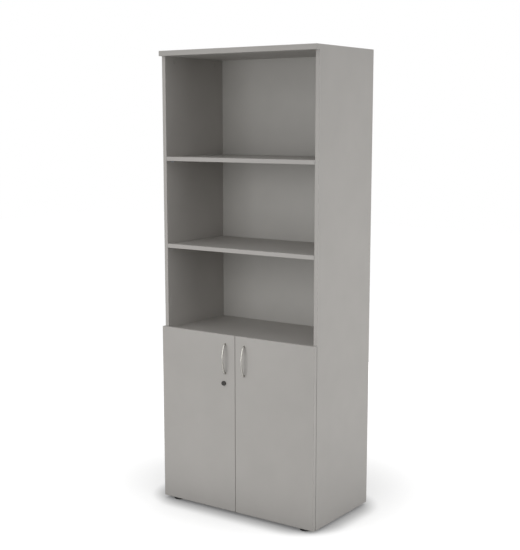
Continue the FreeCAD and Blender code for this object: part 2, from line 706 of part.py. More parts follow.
def hinge_links():
    """Two flat bent links, one each side of the arm, from the arm's nose into the cup."""
    level = UP * LINK_LAYER
    depth = UP * LINK_THICKNESS
    bend = hinge_point(LINK_BEND_IN, -LINK_BEND_DEPTH)
    path = [LINK_PIN + level, bend + level, CUP_LINK_PIN + level]
    body = bar(path, LINK_HALF_WIDTH, depth)
    eyes = [bar([place], LINK_EYE_RADIUS, depth) for place in (path[0], path[-1])]
    bores = [bar([place], PIN_RADIUS + PIN_CLEARANCE, depth) for place in (path[0], path[-1])]
    return both_layers(fused([body] + eyes).cut(bores))


def hinge_lever():
    """Bent middle lever whose slotted head rides on the cup's fork pin."""
    level = UP * -LEVER_LAYER
    depth = UP * LEVER_THICKNESS
    turn = math.radians(FORK_ANGLE)
    along = Vector(math.cos(turn), math.sin(turn), 0)
    head = CUP_FORK_PIN + level
    tail = LEVER_PIN + level
    bend = hinge_point(LEVER_BEND_IN, -LEVER_BEND_DEPTH) + level
    body = bar([tail, bend, head], LEVER_HALF_WIDTH, depth)
    eye = bar([tail], LEVER_EYE_RADIUS, depth)
    bore = bar([tail], PIN_RADIUS + PIN_CLEARANCE, depth)
    slot = bar([head + along * FORK_SLOT_END, head - along * (2 * FORK_RADIUS)], FORK_SLOT_RADIUS, depth)
    return fused([body, eye, bar([head], FORK_RADIUS, depth)]).cut([bore, slot])


def hinge_arm_pins():
    """Pins in the arm's nose: one for the outer links, one for the lever."""
    link_end = LINK_LAYER + LINK_THICKNESS + LAYER_GAP
    lever_end = ARM_LAYER + ARM_SHEET
    return [pin(LINK_PIN, -link_end, link_end), pin(LEVER_PIN, -lever_end, lever_end)]


def arm_screws():
    """Two screws through the arm's web into the rail of the mounting plate."""
    web = LINK_PIN.x + ARM_NOSE_RADIUS
    return [screw(Vector(web, y, 0), RIGHT * -1, ARM_SCREW_RADIUS, ARM_SCREW_LENGTH,
                  ARM_SCREW_HEAD_RADIUS, ARM_SCREW_HEAD)
            for y in (PLATE_Y - ARM_SCREW_AHEAD, PLATE_Y + ARM_SCREW_BEHIND)]


def hinge_arm():
    """Channel-shaped arm: two cheeks with a round nose for the pins, joined by a web."""
    rear = CASE_FRONT_Y + ARM_LENGTH
    outer = ARM_LAYER + ARM_SHEET
    nose = bar([LEVER_PIN + UP * ARM_LAYER, LINK_PIN + UP * ARM_LAYER], ARM_NOSE_RADIUS, UP * ARM_SHEET)
    cheek = block(Vector(LEVER_PIN.x - ARM_NOSE_RADIUS, LEVER_PIN.y, ARM_LAYER),
                  Vector(LINK_PIN.x + ARM_NOSE_RADIUS, rear, outer))
    front_corner = block(Vector(LEVER_PIN.x, LEVER_PIN.y - ARM_NOSE_RADIUS, ARM_LAYER),
                         Vector(LINK_PIN.x + ARM_NOSE_RADIUS, LINK_PIN.y, outer))
    web = block(Vector(ARM_WEB_X, PLATE_Y - RAIL_AHEAD, -outer), Vector(ARM_WEB_X + ARM_SHEET, rear, outer))
    cheeks = both_layers(fused([cheek.cut(front_corner), nose]))
    return fused(cheeks + [web]).cut(hinge_arm_pins() + arm_screws())


def plate_screws():
    """Two screws that hold the mounting plate to the side."""
    seat = -INNER_X + PLATE_BASE
    return [screw(Vector(seat, PLATE_Y, z), RIGHT * -1, PLATE_SCREW_RADIUS, PLATE_SCREW_LENGTH,
                  PLATE_SCREW_HEAD_RADIUS, PLATE_SCREW_HEAD)
            for z in (-PLATE_SCREW_SPREAD / 2, PLATE_SCREW_SPREAD / 2)]


def hinge_plate():
    """Mounting plate on the side's inner face: two wings and a rail inside the arm."""
    ends = [Vector(-INNER_X, PLATE_Y, z) for z in (-PLATE_SCREW_SPREAD / 2, PLATE_SCREW_SPREAD / 2)]
    wings = bar(ends, PLATE_WING_RADIUS, RIGHT * PLATE_BASE)
    half = ARM_LAYER - RAIL_CLEARANCE
    rail = block(Vector(-INNER_X, PLATE_Y - RAIL_AHEAD, -half),
                 Vector(ARM_WEB_X, PLATE_Y + RAIL_BEHIND, half))
    return fused([wings, rail]).cut(plate_screws() + arm_screws())


def at_hinges(solids):
    """Copies of a left hinge's pieces at both hinge heights."""
    return [solid.translated(UP * height) for height in HINGE_HEIGHTS for solid in solids]


def save_both(name, solids):
    """Write a group of left pieces and the same group mirrored to the right."""
    save(f"left_{name}", solids)
    save(f"right_{name}", [mirrored(solid) for solid in solids])


def save_case():
    """Boards, their fittings, the shelves with their supports, and the feet."""
    dowels, housings, bolts, caps, bores = board_fittings()
    fittings = dowels + bores
    supports = {name: shelf_supports(top) for name, top in SHELF_TOPS.items()}
    held = [support for group in supports.values() for support in group]
    feet = foot_places()
    sockets = [foot_socket(place) for place in feet.values()]
    socket_holes = [socket_blank(place, SOCKET_RADIUS) for place in feet.values()]
    plate_holes = at_hinges(plate_screws())
    save_both("side", [side_panel(fittings + held + plate_holes)])
    save("top_panel", [top_panel(fittings)])
    save("bottom_panel", [fixed_board(FLOOR_TOP_Z, fittings + socket_holes)])
    save("fixed_shelf", [fixed_board(FIXED_SHELF_TOP, fittings + [bush_sleeve()])])
    save("back_panel", [back_panel()])
    for name, top in SHELF_TOPS.items():
        setback = CABINET_SHELF_SETBACK if name == "cabinet" else 0.0
        save(f"{name}_shelf", [loose_shelf(top, setback)])
        save(f"{name}_shelf_supports", supports[name])
    save("dowels", dowels)
    save("cam_housings", housings)
    save("cam_bolts", bolts)
    save("cam_caps", caps)
    save("bolt_bush", [bolt_bush()])
    save("foot_sockets", sockets)
    for name, place in feet.items():
        save(name, [foot(place)])


def save_hinges():
    """Both hinges of both doors."""
    save_both("hinge_plates", at_hinges([hinge_plate()]))
    save_both("hinge_arms", at_hinges([hinge_arm()]))
    save_both("hinge_links", at_hinges(hinge_links()))
    save_both("hinge_levers", at_hinges([hinge_lever()]))
    save_both("hinge_cups", at_hinges([hinge_cup()]))
    save_both("hinge_cup_pins", at_hinges(hinge_cup_pins()))
    save_both("hinge_cup_screws", at_hinges(hinge_cup_screws()))
    save("hinge_plate_screws", both_hands(at_hinges(plate_screws())))
    save("hinge_arm_pins", both_hands(at_hinges(hinge_arm_pins())))
    save("hinge_arm_screws", both_hands(at_hinges(arm_screws())))


def save_doors():
    """Doors with their handles, buffers, lock and slide bolt."""
    hinge_holes = at_hinges([cup_pot()] + hinge_cup_screws())
    lock_hole = Part.makeCylinder(LOCK_BODY_RADIUS, DOOR_BOARD, LOCK_AXIS, BACKWARD)
    leaf = door_board(hinge_holes + handle_screws(-HANDLE_IN))
    save("left_door", [leaf.cut(lock_hole)])
    save("right_door", [mirrored(leaf).cut(bolt_screws())])
    for hand, x in (("left", -HANDLE_IN), ("right", HANDLE_IN)):
        save(f"{hand}_handle", [handle(x)])
        save(f"{hand}_handle_screws", handle_screws(x))
    save_both("door_buffers", door_buffers())
    save("lock_body", [lock_body()])
    save("lock_nut", [lock_nut()])
    save("lock_barrel", [lock_barrel()])
    save("lock_tongue", [lock_tongue()])
    save("tongue_screw", [tongue_screw()])
    save("bolt_guide", [bolt_guide()])
    save("slide_bolt", [slide_bolt()])
    save("bolt_screws", bolt_screws())


os.makedirs("parts", exist_ok=True)
save_case()
save_hinges()
save_doors()
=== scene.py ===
"""A tall light-grey bookcase with two cabinet doors, dressed for a studio picture.

Boards, hinges and hidden fittings are the loaded solids with fresh materials.  Handles, lock, feet,
screws, door buffers and slide bolt are finer surfaces worked out as arrays, each standing for its solid.
Lengths are in metres, +Z is up and the doors face -Y.
"""
import json
import math

import bmesh
import bpy
import numpy as np
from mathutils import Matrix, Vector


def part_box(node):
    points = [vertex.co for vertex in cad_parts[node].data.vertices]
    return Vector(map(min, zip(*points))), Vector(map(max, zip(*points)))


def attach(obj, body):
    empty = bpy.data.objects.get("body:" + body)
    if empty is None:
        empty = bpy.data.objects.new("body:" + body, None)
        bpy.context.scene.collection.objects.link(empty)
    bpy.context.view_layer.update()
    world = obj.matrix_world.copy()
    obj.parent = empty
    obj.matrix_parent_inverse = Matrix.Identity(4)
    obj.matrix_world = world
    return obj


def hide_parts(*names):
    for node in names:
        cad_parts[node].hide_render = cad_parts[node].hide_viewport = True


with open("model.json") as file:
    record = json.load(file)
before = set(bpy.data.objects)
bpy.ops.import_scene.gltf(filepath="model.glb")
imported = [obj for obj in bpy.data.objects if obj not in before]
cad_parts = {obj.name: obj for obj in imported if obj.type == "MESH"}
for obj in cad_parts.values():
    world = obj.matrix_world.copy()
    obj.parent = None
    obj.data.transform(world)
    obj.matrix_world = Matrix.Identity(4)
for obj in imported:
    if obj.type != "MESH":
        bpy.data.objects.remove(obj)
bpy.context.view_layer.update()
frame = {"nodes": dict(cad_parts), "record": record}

bl_info = {
    "name": "Grey bookcase with cabinet doors",
    "version": (1, 0, 0),
    "blender": (4, 5, 0),
    "location": "View3D > Sidebar > Bookcase",
    "description": "Dresses a bookcase with boards, fittings, handles, lock, feet and a studio stage",
    "category": "Object",
}

MM = 0.001
UP = np.array([0.0, 0.0, 1.0])
RIGHT = np.array([1.0, 0.0, 0.0])
BACKWARD = np.array([0.0, 1.0, 0.0])
WHITE = (1.0, 1.0, 1.0, 1.0)

# Height of the picture, its longer side, in pixels, and the camera's sensor on that side in millimetres
PHOTO_HEIGHT = 550
SENSOR = 36.0

# Points closer than this are welded, and edges bent more than this stay sharp
WELD = 0.001 * MM
SHARP = math.radians(35)

# Most values of a noise texture lie between these
NOISE_LOW = 0.3
NOISE_HIGH = 0.7

# Sockets of a colour mix: factor, first colour, second colour, and its result
MIX_FACTOR = 0
MIX_FIRST = 6
MIX_SECOND = 7
MIX_RESULT = 2


def corners(node):
    """Lowest and highest corner of a loaded solid as arrays."""
    low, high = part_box(node)
    return np.array(low, float), np.array(high, float)


TOP_LOW, TOP_HIGH = corners("top_panel")
BODY_OF = {node: body for body, nodes in frame["record"]["behaviour"]["bodies"].items() for node in nodes}


def linear(hex_colour):
    """Linear red, green and blue of an sRGB hex colour."""
    level = np.array([int(hex_colour[start:start + 2], 16) for start in (1, 3, 5)]) / 255
    return np.where(level <= 0.04045, level / 12.92, ((level + 0.055) / 1.055) ** 2.4).tolist()


def colour_property(name, description, hex_colour):
    """Colour that a user can change, given as an sRGB hex value."""
    return bpy.props.FloatVectorProperty(name=name, description=description, subtype="COLOR", size=3,
                                         min=0.0, max=1.0, default=linear(hex_colour))


def number_property(name, description, value, **settings):
    """Number that a user can change, with a unit or subtype where one fits."""
    return bpy.props.FloatProperty(name=name, description=description, default=value, **settings)


def length_property(name, description, value):
    """Length in metres that a user can change."""
    return number_property(name, description, value, unit="LENGTH", subtype="DISTANCE",
                           min=0.0, precision=5)


def place_property(name, description, value):
    """Three lengths in metres that a user can change."""
    return bpy.props.FloatVectorProperty(name=name, description=description, default=value,
                                         subtype="XYZ", unit="LENGTH")


class BookcaseBoards(bpy.types.PropertyGroup):
    """Looks of the melamine boards."""
    board_colour: colour_property("Board colour", "Printed paper of boards and doors", "#AEABA7")
    back_colour: colour_property("Back colour", "Printed paper of the thin back board", "#ADABA7")
    seam_colour: colour_property("Seam colour", "Glue line between a face and its edge band", "#94918B")
    band: length_property("Edge band", "Thickness of the edge bands", 1.0 * MM)
    seam: length_property("Seam width", "Drawn width of the glue line", 0.3 * MM)
    pearl: length_property("Pearl size", "Drawn spacing of the pressed pearl texture", 2.5 * MM)
    cloud: length_property("Cloud size", "Spacing of the paper's faint cloudiness", 140 * MM)


class BookcaseMetals(bpy.types.PropertyGroup):
    """Looks of the metal fittings."""
    nickel_colour: colour_property("Satin nickel", "Handles", "#A5A39E")
    lock_colour: colour_property("Black nickel", "Lock", "#4A4947")
    hinge_colour: colour_property("Hinge nickel", "Bright plate of the hinges", "#D2D0CB")
    zinc_colour: colour_property("Zinc", "Screws, bolt, cams and tongue", "#C2C6CA")
    brush: length_property("Brush line", "Drawn width of the brushed lines", 0.5 * MM)
    spangle: length_property("Spangle", "Drawn size of the plating's crystals", 3.0 * MM)


class BookcaseSmallParts(bpy.types.PropertyGroup):
    """Looks of plastic, soft plastic and wood."""
    plastic_colour: colour_property("Foot plastic", "Feet and their sockets", "#1E1E1F")
    cap_colour: colour_property("Cap plastic", "Cover caps of the cams", "#A6A4A0")
    buffer_colour: colour_property("Buffer plastic", "Soft stops on the doors", "#E2E0D8")
    beech_light: colour_property("Beech, early wood", "Pale bands of the dowels", "#D3AE80")
    beech_dark: colour_property("Beech, late wood", "Dark bands of the dowels", "#B4864F")
    grain: length_property("Mould grain", "Drawn spacing of the plastic's eroded grain", 1.0 * MM)
    milk: length_property("Milky clouds", "Spacing of the clouds in the soft stops", 2.0 * MM)
    fleck: length_property("Beech fleck", "Width of the bands and flecks in the dowels", 0.8 * MM)


class BookcaseHandles(bpy.types.PropertyGroup):
    """Sizes of the bow handles that the loaded solids don't give."""
    bar: length_property("Bar radius", "Radius of the bow's bar", 4.0 * MM)
    post: length_property("Post", "Height of the straight posts, to the middle of the bar", 8.0 * MM)
    bend: length_property("Bend", "Length of the bend on each side of a corner", 5.0 * MM)
    flare: length_property("Flare", "Height of the flared feet", 3.0 * MM)


class BookcaseFittings(bpy.types.PropertyGroup):
    """Sizes of lock, feet and screws that the loaded solids don't give."""
    lock_head: length_property("Lock head", "How far the lock's head stands out of the door", 8.0 * MM)
    lock_round: length_property("Lock rounding", "Rounding of the lock head's rim", 1.5 * MM)
    key_width: length_property("Key slot width", "Width of the key slot", 1.6 * MM)
    key_height: length_property("Key slot height", "Height of the key slot", 8.0 * MM)
    foot_rim: length_property("Foot rim", "Height of the grip rim of the feet", 7.0 * MM)
    recess: length_property("Cross recess", "Depth of the cross recess in screw heads", 1.1 * MM)


class BookcaseStage(bpy.types.PropertyGroup):
    """Camera, lamps and floor."""
    camera_place: place_property("Camera place", "Where the camera stands", (2.67381, -3.84811, 1.69826))
    camera_turn: number_property("Camera turn", "Turn of the camera to the left of straight back",
                                 math.radians(34.96), subtype="ANGLE")
    camera_tilt: number_property("Camera tilt", "Tilt of the camera, downwards",
                                 math.radians(9.35), subtype="ANGLE")
    focal_pixels: number_property("Focal length", "Focal length in pixels of the picture", 1079.80)
    axis_row: number_property("Axis row", "Row of the picture that the camera's axis meets", 300.0)
    front_power: number_property("Front softbox", "Power of the softbox in front", 20.0, unit="POWER")
    side_power: number_property("Side softbox", "Power of the softbox on the right", 19.5, unit="POWER")
    back_power: number_property("Back softbox", "Power of the softbox behind the case", 20.0, unit="POWER")
    sky: number_property("Sky", "Strength of the even light from all round", 0.62)
    floor_light: number_property("Floor light", "Strength of the light that the floor sends up", 0.8)
    floor_colour: colour_property("Floor", "Pale studio floor", "#B8B8B8")
    # The next two lower the glow that the camera sees into a painted shadow close to the base and a faint
    # painted halo of shade round it
    painted_floor_shade: number_property("Floor shade", "Glow that the camera sees under the case", 0.1)
    painted_halo_glow: number_property("Floor halo", "Glow that the camera sees round the shade", 0.43)
    floor_white: number_property("Floor white", "Glow that lifts the floor to white for the camera", 0.72)
    # Size, rounding and place of the painted shadow and its painted halo of shade on the floor
    painted_shade_reach: length_property("Shade reach", "How far the shade close to the base reaches", 0.1)
    painted_shade_round: length_property("Shade rounding", "Rounding of the shade's corners", 0.15)
    painted_shade_spill: length_property("Shade spill", "How far the shade is drawn out, left and back", 0.045)
    painted_halo_centre: place_property("Halo centre", "Middle of the faint halo on the floor", (-0.11, 0.215, 0.0))
    painted_halo_size: place_property("Halo size", "Half axes of the faint halo", (0.86, 0.77, 1.0))
    painted_halo_start: number_property("Halo start", "Share of the half axes where the halo begins to fade", 0.44)
    glow_start: length_property("Glow start", "Where the floor begins to send up light", 0.12)
    glow_full: length_property("Glow full", "Where the floor sends up its full light", 0.3)
    glow_fade: length_property("Glow fade", "Where the floor's light begins to fade", 0.5)
    glow_end: length_property("Glow end", "Where the floor's light ends", 0.9)
    glow_gap: length_property("Glow gap", "How much further off that light begins on the right", 0.25)
    floor_size: length_property("Floor size", "Length of the floor's sides", 24.0)


def add_node(tree, kind, inputs=None, **settings):
    """Add a node with its settings; an input is a value, or another node's output to link."""
    node = tree.nodes.new(kind)
    for key, value in settings.items():
        setattr(node, key, value)
    for key, value in (inputs or {}).items():
        if isinstance(value, bpy.types.NodeSocket):
            tree.links.new(value, node.inputs[key])
        else:
            node.inputs[key].default_value = value
    return node


def new_material(name):
    """Empty node material, with the object's own coordinates ready."""
    material = bpy.data.materials.new(name)
    material.use_nodes = True
    tree = material.node_tree
    tree.nodes.clear()
    place = add_node(tree, "ShaderNodeTexCoord").outputs["Object"]
    return material, tree, place


def shade(colour, factor):
    """A colour made lighter or darker, with full opacity."""
    return (*[min(1.0, channel * factor) for channel in colour], 1.0)


def seam_lines(tree, place, seams, width):
    """Mask of thin lines: a seam is an axis and a place on it; on X it is on both sides of the middle."""
    axes = add_node(tree, "ShaderNodeSeparateXYZ", {"Vector": place})
    mask = 0.0
    for axis, where in seams:
        along = axes.outputs[axis]
        if axis == "X":
            along = add_node(tree, "ShaderNodeMath", {0: along}, operation="ABSOLUTE").outputs[0]
        line = add_node(tree, "ShaderNodeMath", {0: along, 1: where, 2: width / 2}, operation="COMPARE")
        both = add_node(tree, "ShaderNodeMath", {0: mask, 1: line.outputs[0]}, operation="MAXIMUM")
        mask = both.outputs[0]
    return mask


def melamine(name, colour, looks, seams):
    """Melamine-faced chipboard, pressed under a pearled steel plate.

    The eye gets an even grey with a faint cloudiness, a soft broad sheen that fine pearls break up, and a
    hairline glue seam where the edge band meets the face.  Real pearls are under 1 mm; they are drawn
    coarser so that they show.
    """
    material, tree, place = new_material(name)
    cloud = add_node(tree, "ShaderNodeTexNoise", {"Vector": place, "Scale": 1 / looks.cloud, "Detail": 3.0})
    pearl = add_node(tree, "ShaderNodeTexNoise", {"Vector": place, "Scale": 1 / looks.pearl, "Detail": 1.0})
    dark = shade(colour, 0.94)
    light = shade(colour, 1.06)
    paper = add_node(tree, "ShaderNodeMix",
                     {MIX_FACTOR: cloud.outputs["Fac"], MIX_FIRST: dark, MIX_SECOND: light},
                     data_type="RGBA")
    tone = add_node(tree, "ShaderNodeMix",
                    {MIX_FACTOR: seam_lines(tree, place, seams, looks.seam),
                     MIX_FIRST: paper.outputs[MIX_RESULT], MIX_SECOND: shade(looks.seam_colour, 1.0)},
                    data_type="RGBA")
    rough = add_node(tree, "ShaderNodeMapRange",
                     {"Value": pearl.outputs["Fac"], "From Min": NOISE_LOW, "From Max": NOISE_HIGH,
                      "To Min": 0.44, "To Max": 0.56})
    bump = add_node(tree, "ShaderNodeBump",
                    {"Height": pearl.outputs["Fac"], "Strength": 0.2, "Distance": 0.1 * MM})
    shader = add_node(tree, "ShaderNodeBsdfPrincipled",
                      {"Base Color": tone.outputs[MIX_RESULT], "IOR": 1.48,
                       "Roughness": rough.outputs["Result"], "Normal": bump.outputs["Normal"]})
    add_node(tree, "ShaderNodeOutputMaterial", {"Surface": shader.outputs["BSDF"]})
    return material


def satin_nickel(name, colour, looks):
    """Satin nickel plate on brushed metal.

    The eye gets a warm grey metal whose highlight is drawn out along the bar by fine upright brush lines,
    50 times as long as they are wide.  They are drawn wider than the real ones so that they show.
    """
    material, tree, place = new_material(name)
    dark = shade(colour, 0.90)
    light = shade(colour, 1.08)
    stretch = add_node(tree, "ShaderNodeMapping", {"Vector": place, "Scale": (1.0, 1.0, 1 / 50)},
                       vector_type="POINT")
    lines = add_node(tree, "ShaderNodeTexNoise",
                     {"Vector": stretch.outputs["Vector"], "Scale": 1 / looks.brush, "Detail": 2.0})
    tone = add_node(tree, "ShaderNodeMix",
                    {MIX_FACTOR: lines.outputs["Fac"], MIX_FIRST: dark, MIX_SECOND: light},
                    data_type="RGBA")
    rough = add_node(tree, "ShaderNodeMapRange",
                     {"Value": lines.outputs["Fac"], "From Min": NOISE_LOW, "From Max": NOISE_HIGH,
                      "To Min": 0.2, "To Max": 0.3})
    bump = add_node(tree, "ShaderNodeBump",
                    {"Height": lines.outputs["Fac"], "Strength": 0.15, "Distance": 0.05 * MM})
    shader = add_node(tree, "ShaderNodeBsdfPrincipled",
                      {"Base Color": tone.outputs[MIX_RESULT], "Metallic": 1.0,
                       "Roughness": rough.outputs["Result"], "Normal": bump.outputs["Normal"]})
    add_node(tree, "ShaderNodeOutputMaterial", {"Surface": shader.outputs["BSDF"]})
    return material


def plated_steel(name, colour, looks, smooth, dull):
    """Pressed steel with a thin bright plate, whose roughness goes from smooth to dull.

    The eye gets a clear metal shine that wanders between crystals of the plate, some darker than others,
    under a haze four times as coarse.
    """
    material, tree, place = new_material(name)
    dark = shade(colour, 0.90)
    light = shade(colour, 1.06)
    crystals = add_node(tree, "ShaderNodeTexVoronoi", {"Vector": place, "Scale": 1 / looks.spangle})
    haze = add_node(tree, "ShaderNodeTexNoise",
                    {"Vector": place, "Scale": 1 / (4 * looks.spangle), "Detail": 2.0})
    spread = add_node(tree, "ShaderNodeSeparateColor", {"Color": crystals.outputs["Color"]})
    tone = add_node(tree, "ShaderNodeMix",
                    {MIX_FACTOR: spread.outputs["Red"], MIX_FIRST: dark, MIX_SECOND: light},
                    data_type="RGBA")
    rough = add_node(tree, "ShaderNodeMapRange",
                     {"Value": haze.outputs["Fac"], "From Min": NOISE_LOW, "From Max": NOISE_HIGH,
                      "To Min": smooth, "To Max": dull})
    bump = add_node(tree, "ShaderNodeBump",
                    {"Height": haze.outputs["Fac"], "Strength": 0.1, "Distance": 0.1 * MM})
    shader = add_node(tree, "ShaderNodeBsdfPrincipled",
                      {"Base Color": tone.outputs[MIX_RESULT], "Metallic": 1.0,
                       "Roughness": rough.outputs["Result"], "Normal": bump.outputs["Normal"]})
    add_node(tree, "ShaderNodeOutputMaterial", {"Surface": shader.outputs["BSDF"]})
    return material


def moulded_plastic(name, colour, looks):
    """Injection-moulded polypropylene from an eroded mould.

    The eye gets an even colour with a dull sheen over a fine grain.
    """
    material, tree, place = new_material(name)
    dark = shade(colour, 0.85)
    light = shade(colour, 1.15)
    grain = add_node(tree, "ShaderNodeTexNoise", {"Vector": place, "Scale": 1 / looks.grain, "Detail": 2.0})
    tone = add_node(tree, "ShaderNodeMix",
                    {MIX_FACTOR: grain.outputs["Fac"], MIX_FIRST: dark, MIX_SECOND: light},
                    data_type="RGBA")
    rough = add_node(tree, "ShaderNodeMapRange",
                     {"Value": grain.outputs["Fac"], "From Min": NOISE_LOW, "From Max": NOISE_HIGH,
                      "To Min": 0.42, "To Max": 0.6})
    bump = add_node(tree, "ShaderNodeBump",
                    {"Height": grain.outputs["Fac"], "Strength": 0.3, "Distance": 0.1 * MM})
    shader = add_node(tree, "ShaderNodeBsdfPrincipled",
                      {"Base Color": tone.outputs[MIX_RESULT], "IOR": 1.49,
                       "Roughness": rough.outputs["Result"], "Normal": bump.outputs["Normal"]})
    add_node(tree, "ShaderNodeOutputMaterial", {"Surface": shader.outputs["BSDF"]})
    return material


def soft_plastic(name, looks):
    """Cast soft polyurethane.

    The eye gets a milky drop that lets some light through, with a wet-looking skin and faint clouds inside.
    """
    material, tree, place = new_material(name)
    dark = shade(looks.buffer_colour, 0.93)
    light = shade(looks.buffer_colour, 1.05)
    cloud = add_node(tree, "ShaderNodeTexNoise", {"Vector": place, "Scale": 1 / looks.milk, "Detail": 1.0})
    tone = add_node(tree, "ShaderNodeMix",
                    {MIX_FACTOR: cloud.outputs["Fac"], MIX_FIRST: dark, MIX_SECOND: light},
                    data_type="RGBA")
    rough = add_node(tree, "ShaderNodeMapRange",
                     {"Value": cloud.outputs["Fac"], "To Min": 0.18, "To Max": 0.3})
    shader = add_node(tree, "ShaderNodeBsdfPrincipled",
                      {"Base Color": tone.outputs[MIX_RESULT], "IOR": 1.5,
                       "Roughness": rough.outputs["Result"], "Transmission Weight": 0.45})
    add_node(tree, "ShaderNodeOutputMaterial", {"Surface": shader.outputs["BSDF"]})
    return material


def beech(name, looks):
    """Turned raw beech.

    The eye gets pale straight bands along the dowel with short dark flecks, about 12 times as long as wide.
    """
    material, tree, place = new_material(name)
    pale = shade(looks.beech_light, 1.0)
    dark = shade(looks.beech_dark, 1.0)
    stretch = add_node(tree, "ShaderNodeMapping", {"Vector": place, "Scale": (1 / 12.5, 1.0, 1.0)},
                       vector_type="POINT")
    bands = add_node(tree, "ShaderNodeTexNoise",
                     {"Vector": stretch.outputs["Vector"], "Scale": 1 / looks.fleck, "Detail": 3.0})
    tone = add_node(tree, "ShaderNodeMix",
                    {MIX_FACTOR: bands.outputs["Fac"], MIX_FIRST: pale, MIX_SECOND: dark},
                    data_type="RGBA")
    bump = add_node(tree, "ShaderNodeBump",
                    {"Height": bands.outputs["Fac"], "Strength": 0.2, "Distance": 0.1 * MM})
    shader = add_node(tree, "ShaderNodeBsdfPrincipled",
                      {"Base Color": tone.outputs[MIX_RESULT], "Roughness": 0.62,
                       "Normal": bump.outputs["Normal"]})
    add_node(tree, "ShaderNodeOutputMaterial", {"Surface": shader.outputs["BSDF"]})
    return material


def dress(material, *nodes):
    """Put a material on loaded solids."""
    for node in nodes:
        solid = frame["nodes"][node]
        solid.data.materials.clear()
        solid.data.materials.append(material)


def lattice(points, ring=False):
    """Points and four-cornered faces of a grid (rows, columns, 3).

    The last column is joined to the first, and with ring the last row to the first too.
    """
    rows, columns = points.shape[:2]
    index = np.arange(rows * columns).reshape(rows, columns)
    index = np.hstack([index, index[:, :1]])
    if ring:
        index = np.vstack([index, index[:1]])
    faces = np.stack([index[:-1, :-1], index[:-1, 1:], index[1:, 1:], index[1:, :-1]], axis=-1)
    return points.reshape(-1, 3), faces.reshape(-1, 4)


def spokes(axis, steps):
    """Angles a once round an axis, and the direction outwards at each: cos a * across + sin a * beside."""
    across = np.cross(axis, RIGHT if abs(axis[0]) < 0.5 else UP)
    beside = np.cross(axis, across)
    angle = np.linspace(0.0, 2 * np.pi, steps, endpoint=False)
    return angle, np.cos(angle)[:, None] * across + np.sin(angle)[:, None] * beside


def turned(profile, foot, axis, steps, ring=False, wave=None):
    """Turned surface: each profile point (radius, height) goes once round the axis through foot.

    Point = foot + height * axis + radius * outward.  wave(profile, a) may change the radius with the angle.
    """
    angle, outward = spokes(axis, steps)
    radius = np.repeat(profile[:, :1], steps, axis=1)
    if wave is not None:
        radius = wave(profile, angle)
    rise = profile[:, 1, None, None] * axis
    return lattice(foot + rise + radius[..., None] * outward, ring)


def arc(centre, radius, start, end, steps=6):
    """Points of a circular arc in a profile, between two angles in degrees."""
    angle = np.radians(np.linspace(start, end, steps))
    return np.column_stack([centre[0] + radius * np.cos(angle), centre[1] + radius * np.sin(angle)])


def make_piece(name, surfaces, body, material, slot, *nodes):
    """One mesh of several closed surfaces, welded at seams and poles, that stands for loaded solids."""
    sizes = [len(points) for points, _ in surfaces]
    starts = np.cumsum([0] + sizes[:-1])
    points = np.vstack([points for points, _ in surfaces])
    faces = np.vstack([quads + start for (_, quads), start in zip(surfaces, starts)])
    mesh = bpy.data.meshes.new(name)
    mesh.from_pydata(points, [], faces)
    weld = bmesh.new()
    weld.from_mesh(mesh)
    bmesh.ops.remove_doubles(weld, verts=weld.verts, dist=WELD)
    bmesh.ops.recalc_face_normals(weld, faces=weld.faces)
    weld.to_mesh(mesh)
    weld.free()
    mesh.shade_smooth()
    mesh.set_sharp_from_angle(angle=SHARP)
    mesh.materials.append(material)
    piece = bpy.data.objects.new(name, mesh)
    bpy.context.collection.objects.link(piece)
    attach(piece, body)
    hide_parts(*nodes)


def separate_solids(node):
    """Lowest and highest corner of every separate solid in a node.

    Points that agree to seven decimals are one spot.  Every spot starts with its own number, and the
    lowest number spreads over the faces until it stands still.
    """
    decimals = 7
    mesh = frame["nodes"][node].data
    points = np.empty(len(mesh.vertices) * 3)
    mesh.vertices.foreach_get("co", points)
    used = np.empty(len(mesh.loops), int)
    mesh.loops.foreach_get("vertex_index", used)
    spots, same = np.unique(points.reshape(-1, 3).round(decimals), axis=0, return_inverse=True)
    triangles = same.reshape(-1)[used].reshape(-1, 3)
    number = np.arange(len(spots))
    settled = False
    while not settled:
        lower = number.copy()
        np.minimum.at(lower, triangles, number[triangles].min(axis=1, keepdims=True))
        settled = np.array_equal(lower, number)
        number = lower
    groups = [spots[number == own] for own in np.unique(number)]
    return [(group.min(axis=0), group.max(axis=0)) for group in groups]


def bow_line(crown, half, sizes):
    """Centre line of a bow handle as (distance from the door, height from the handle's middle).

    Straight out of the lower foot, a bend, a circular arc over the crown, and the same back.  A bend is a
    quadratic curve between the post and the arc, with the corner where they meet as its control point.
    """
    bow_steps = 49
    post_steps = 9
    bend_steps = 13
    rise = crown - sizes.post
    radius = (half ** 2 + rise ** 2) / (2 * rise)
    spread = math.asin(half / radius)
    clear = spread - sizes.bend / radius
    angle = np.linspace(-clear, clear, bow_steps)
    bow = np.column_stack([crown - radius + radius * np.cos(angle), radius * np.sin(angle)])
    out = np.linspace(0.0, sizes.post - sizes.bend, post_steps)
    post = np.column_stack([out, np.full_like(out, -half)])
    share = np.linspace(0.0, 1.0, bend_steps)[1:-1, None]
    corner = np.array([sizes.post, -half])
    bend = (1 - share) ** 2 * post[-1] + 2 * share * (1 - share) * corner + share ** 2 * bow[0]
    lower = np.vstack([post, bend])
    upper = lower[::-1] * (1, -1)
    return np.vstack([lower, bow, upper])


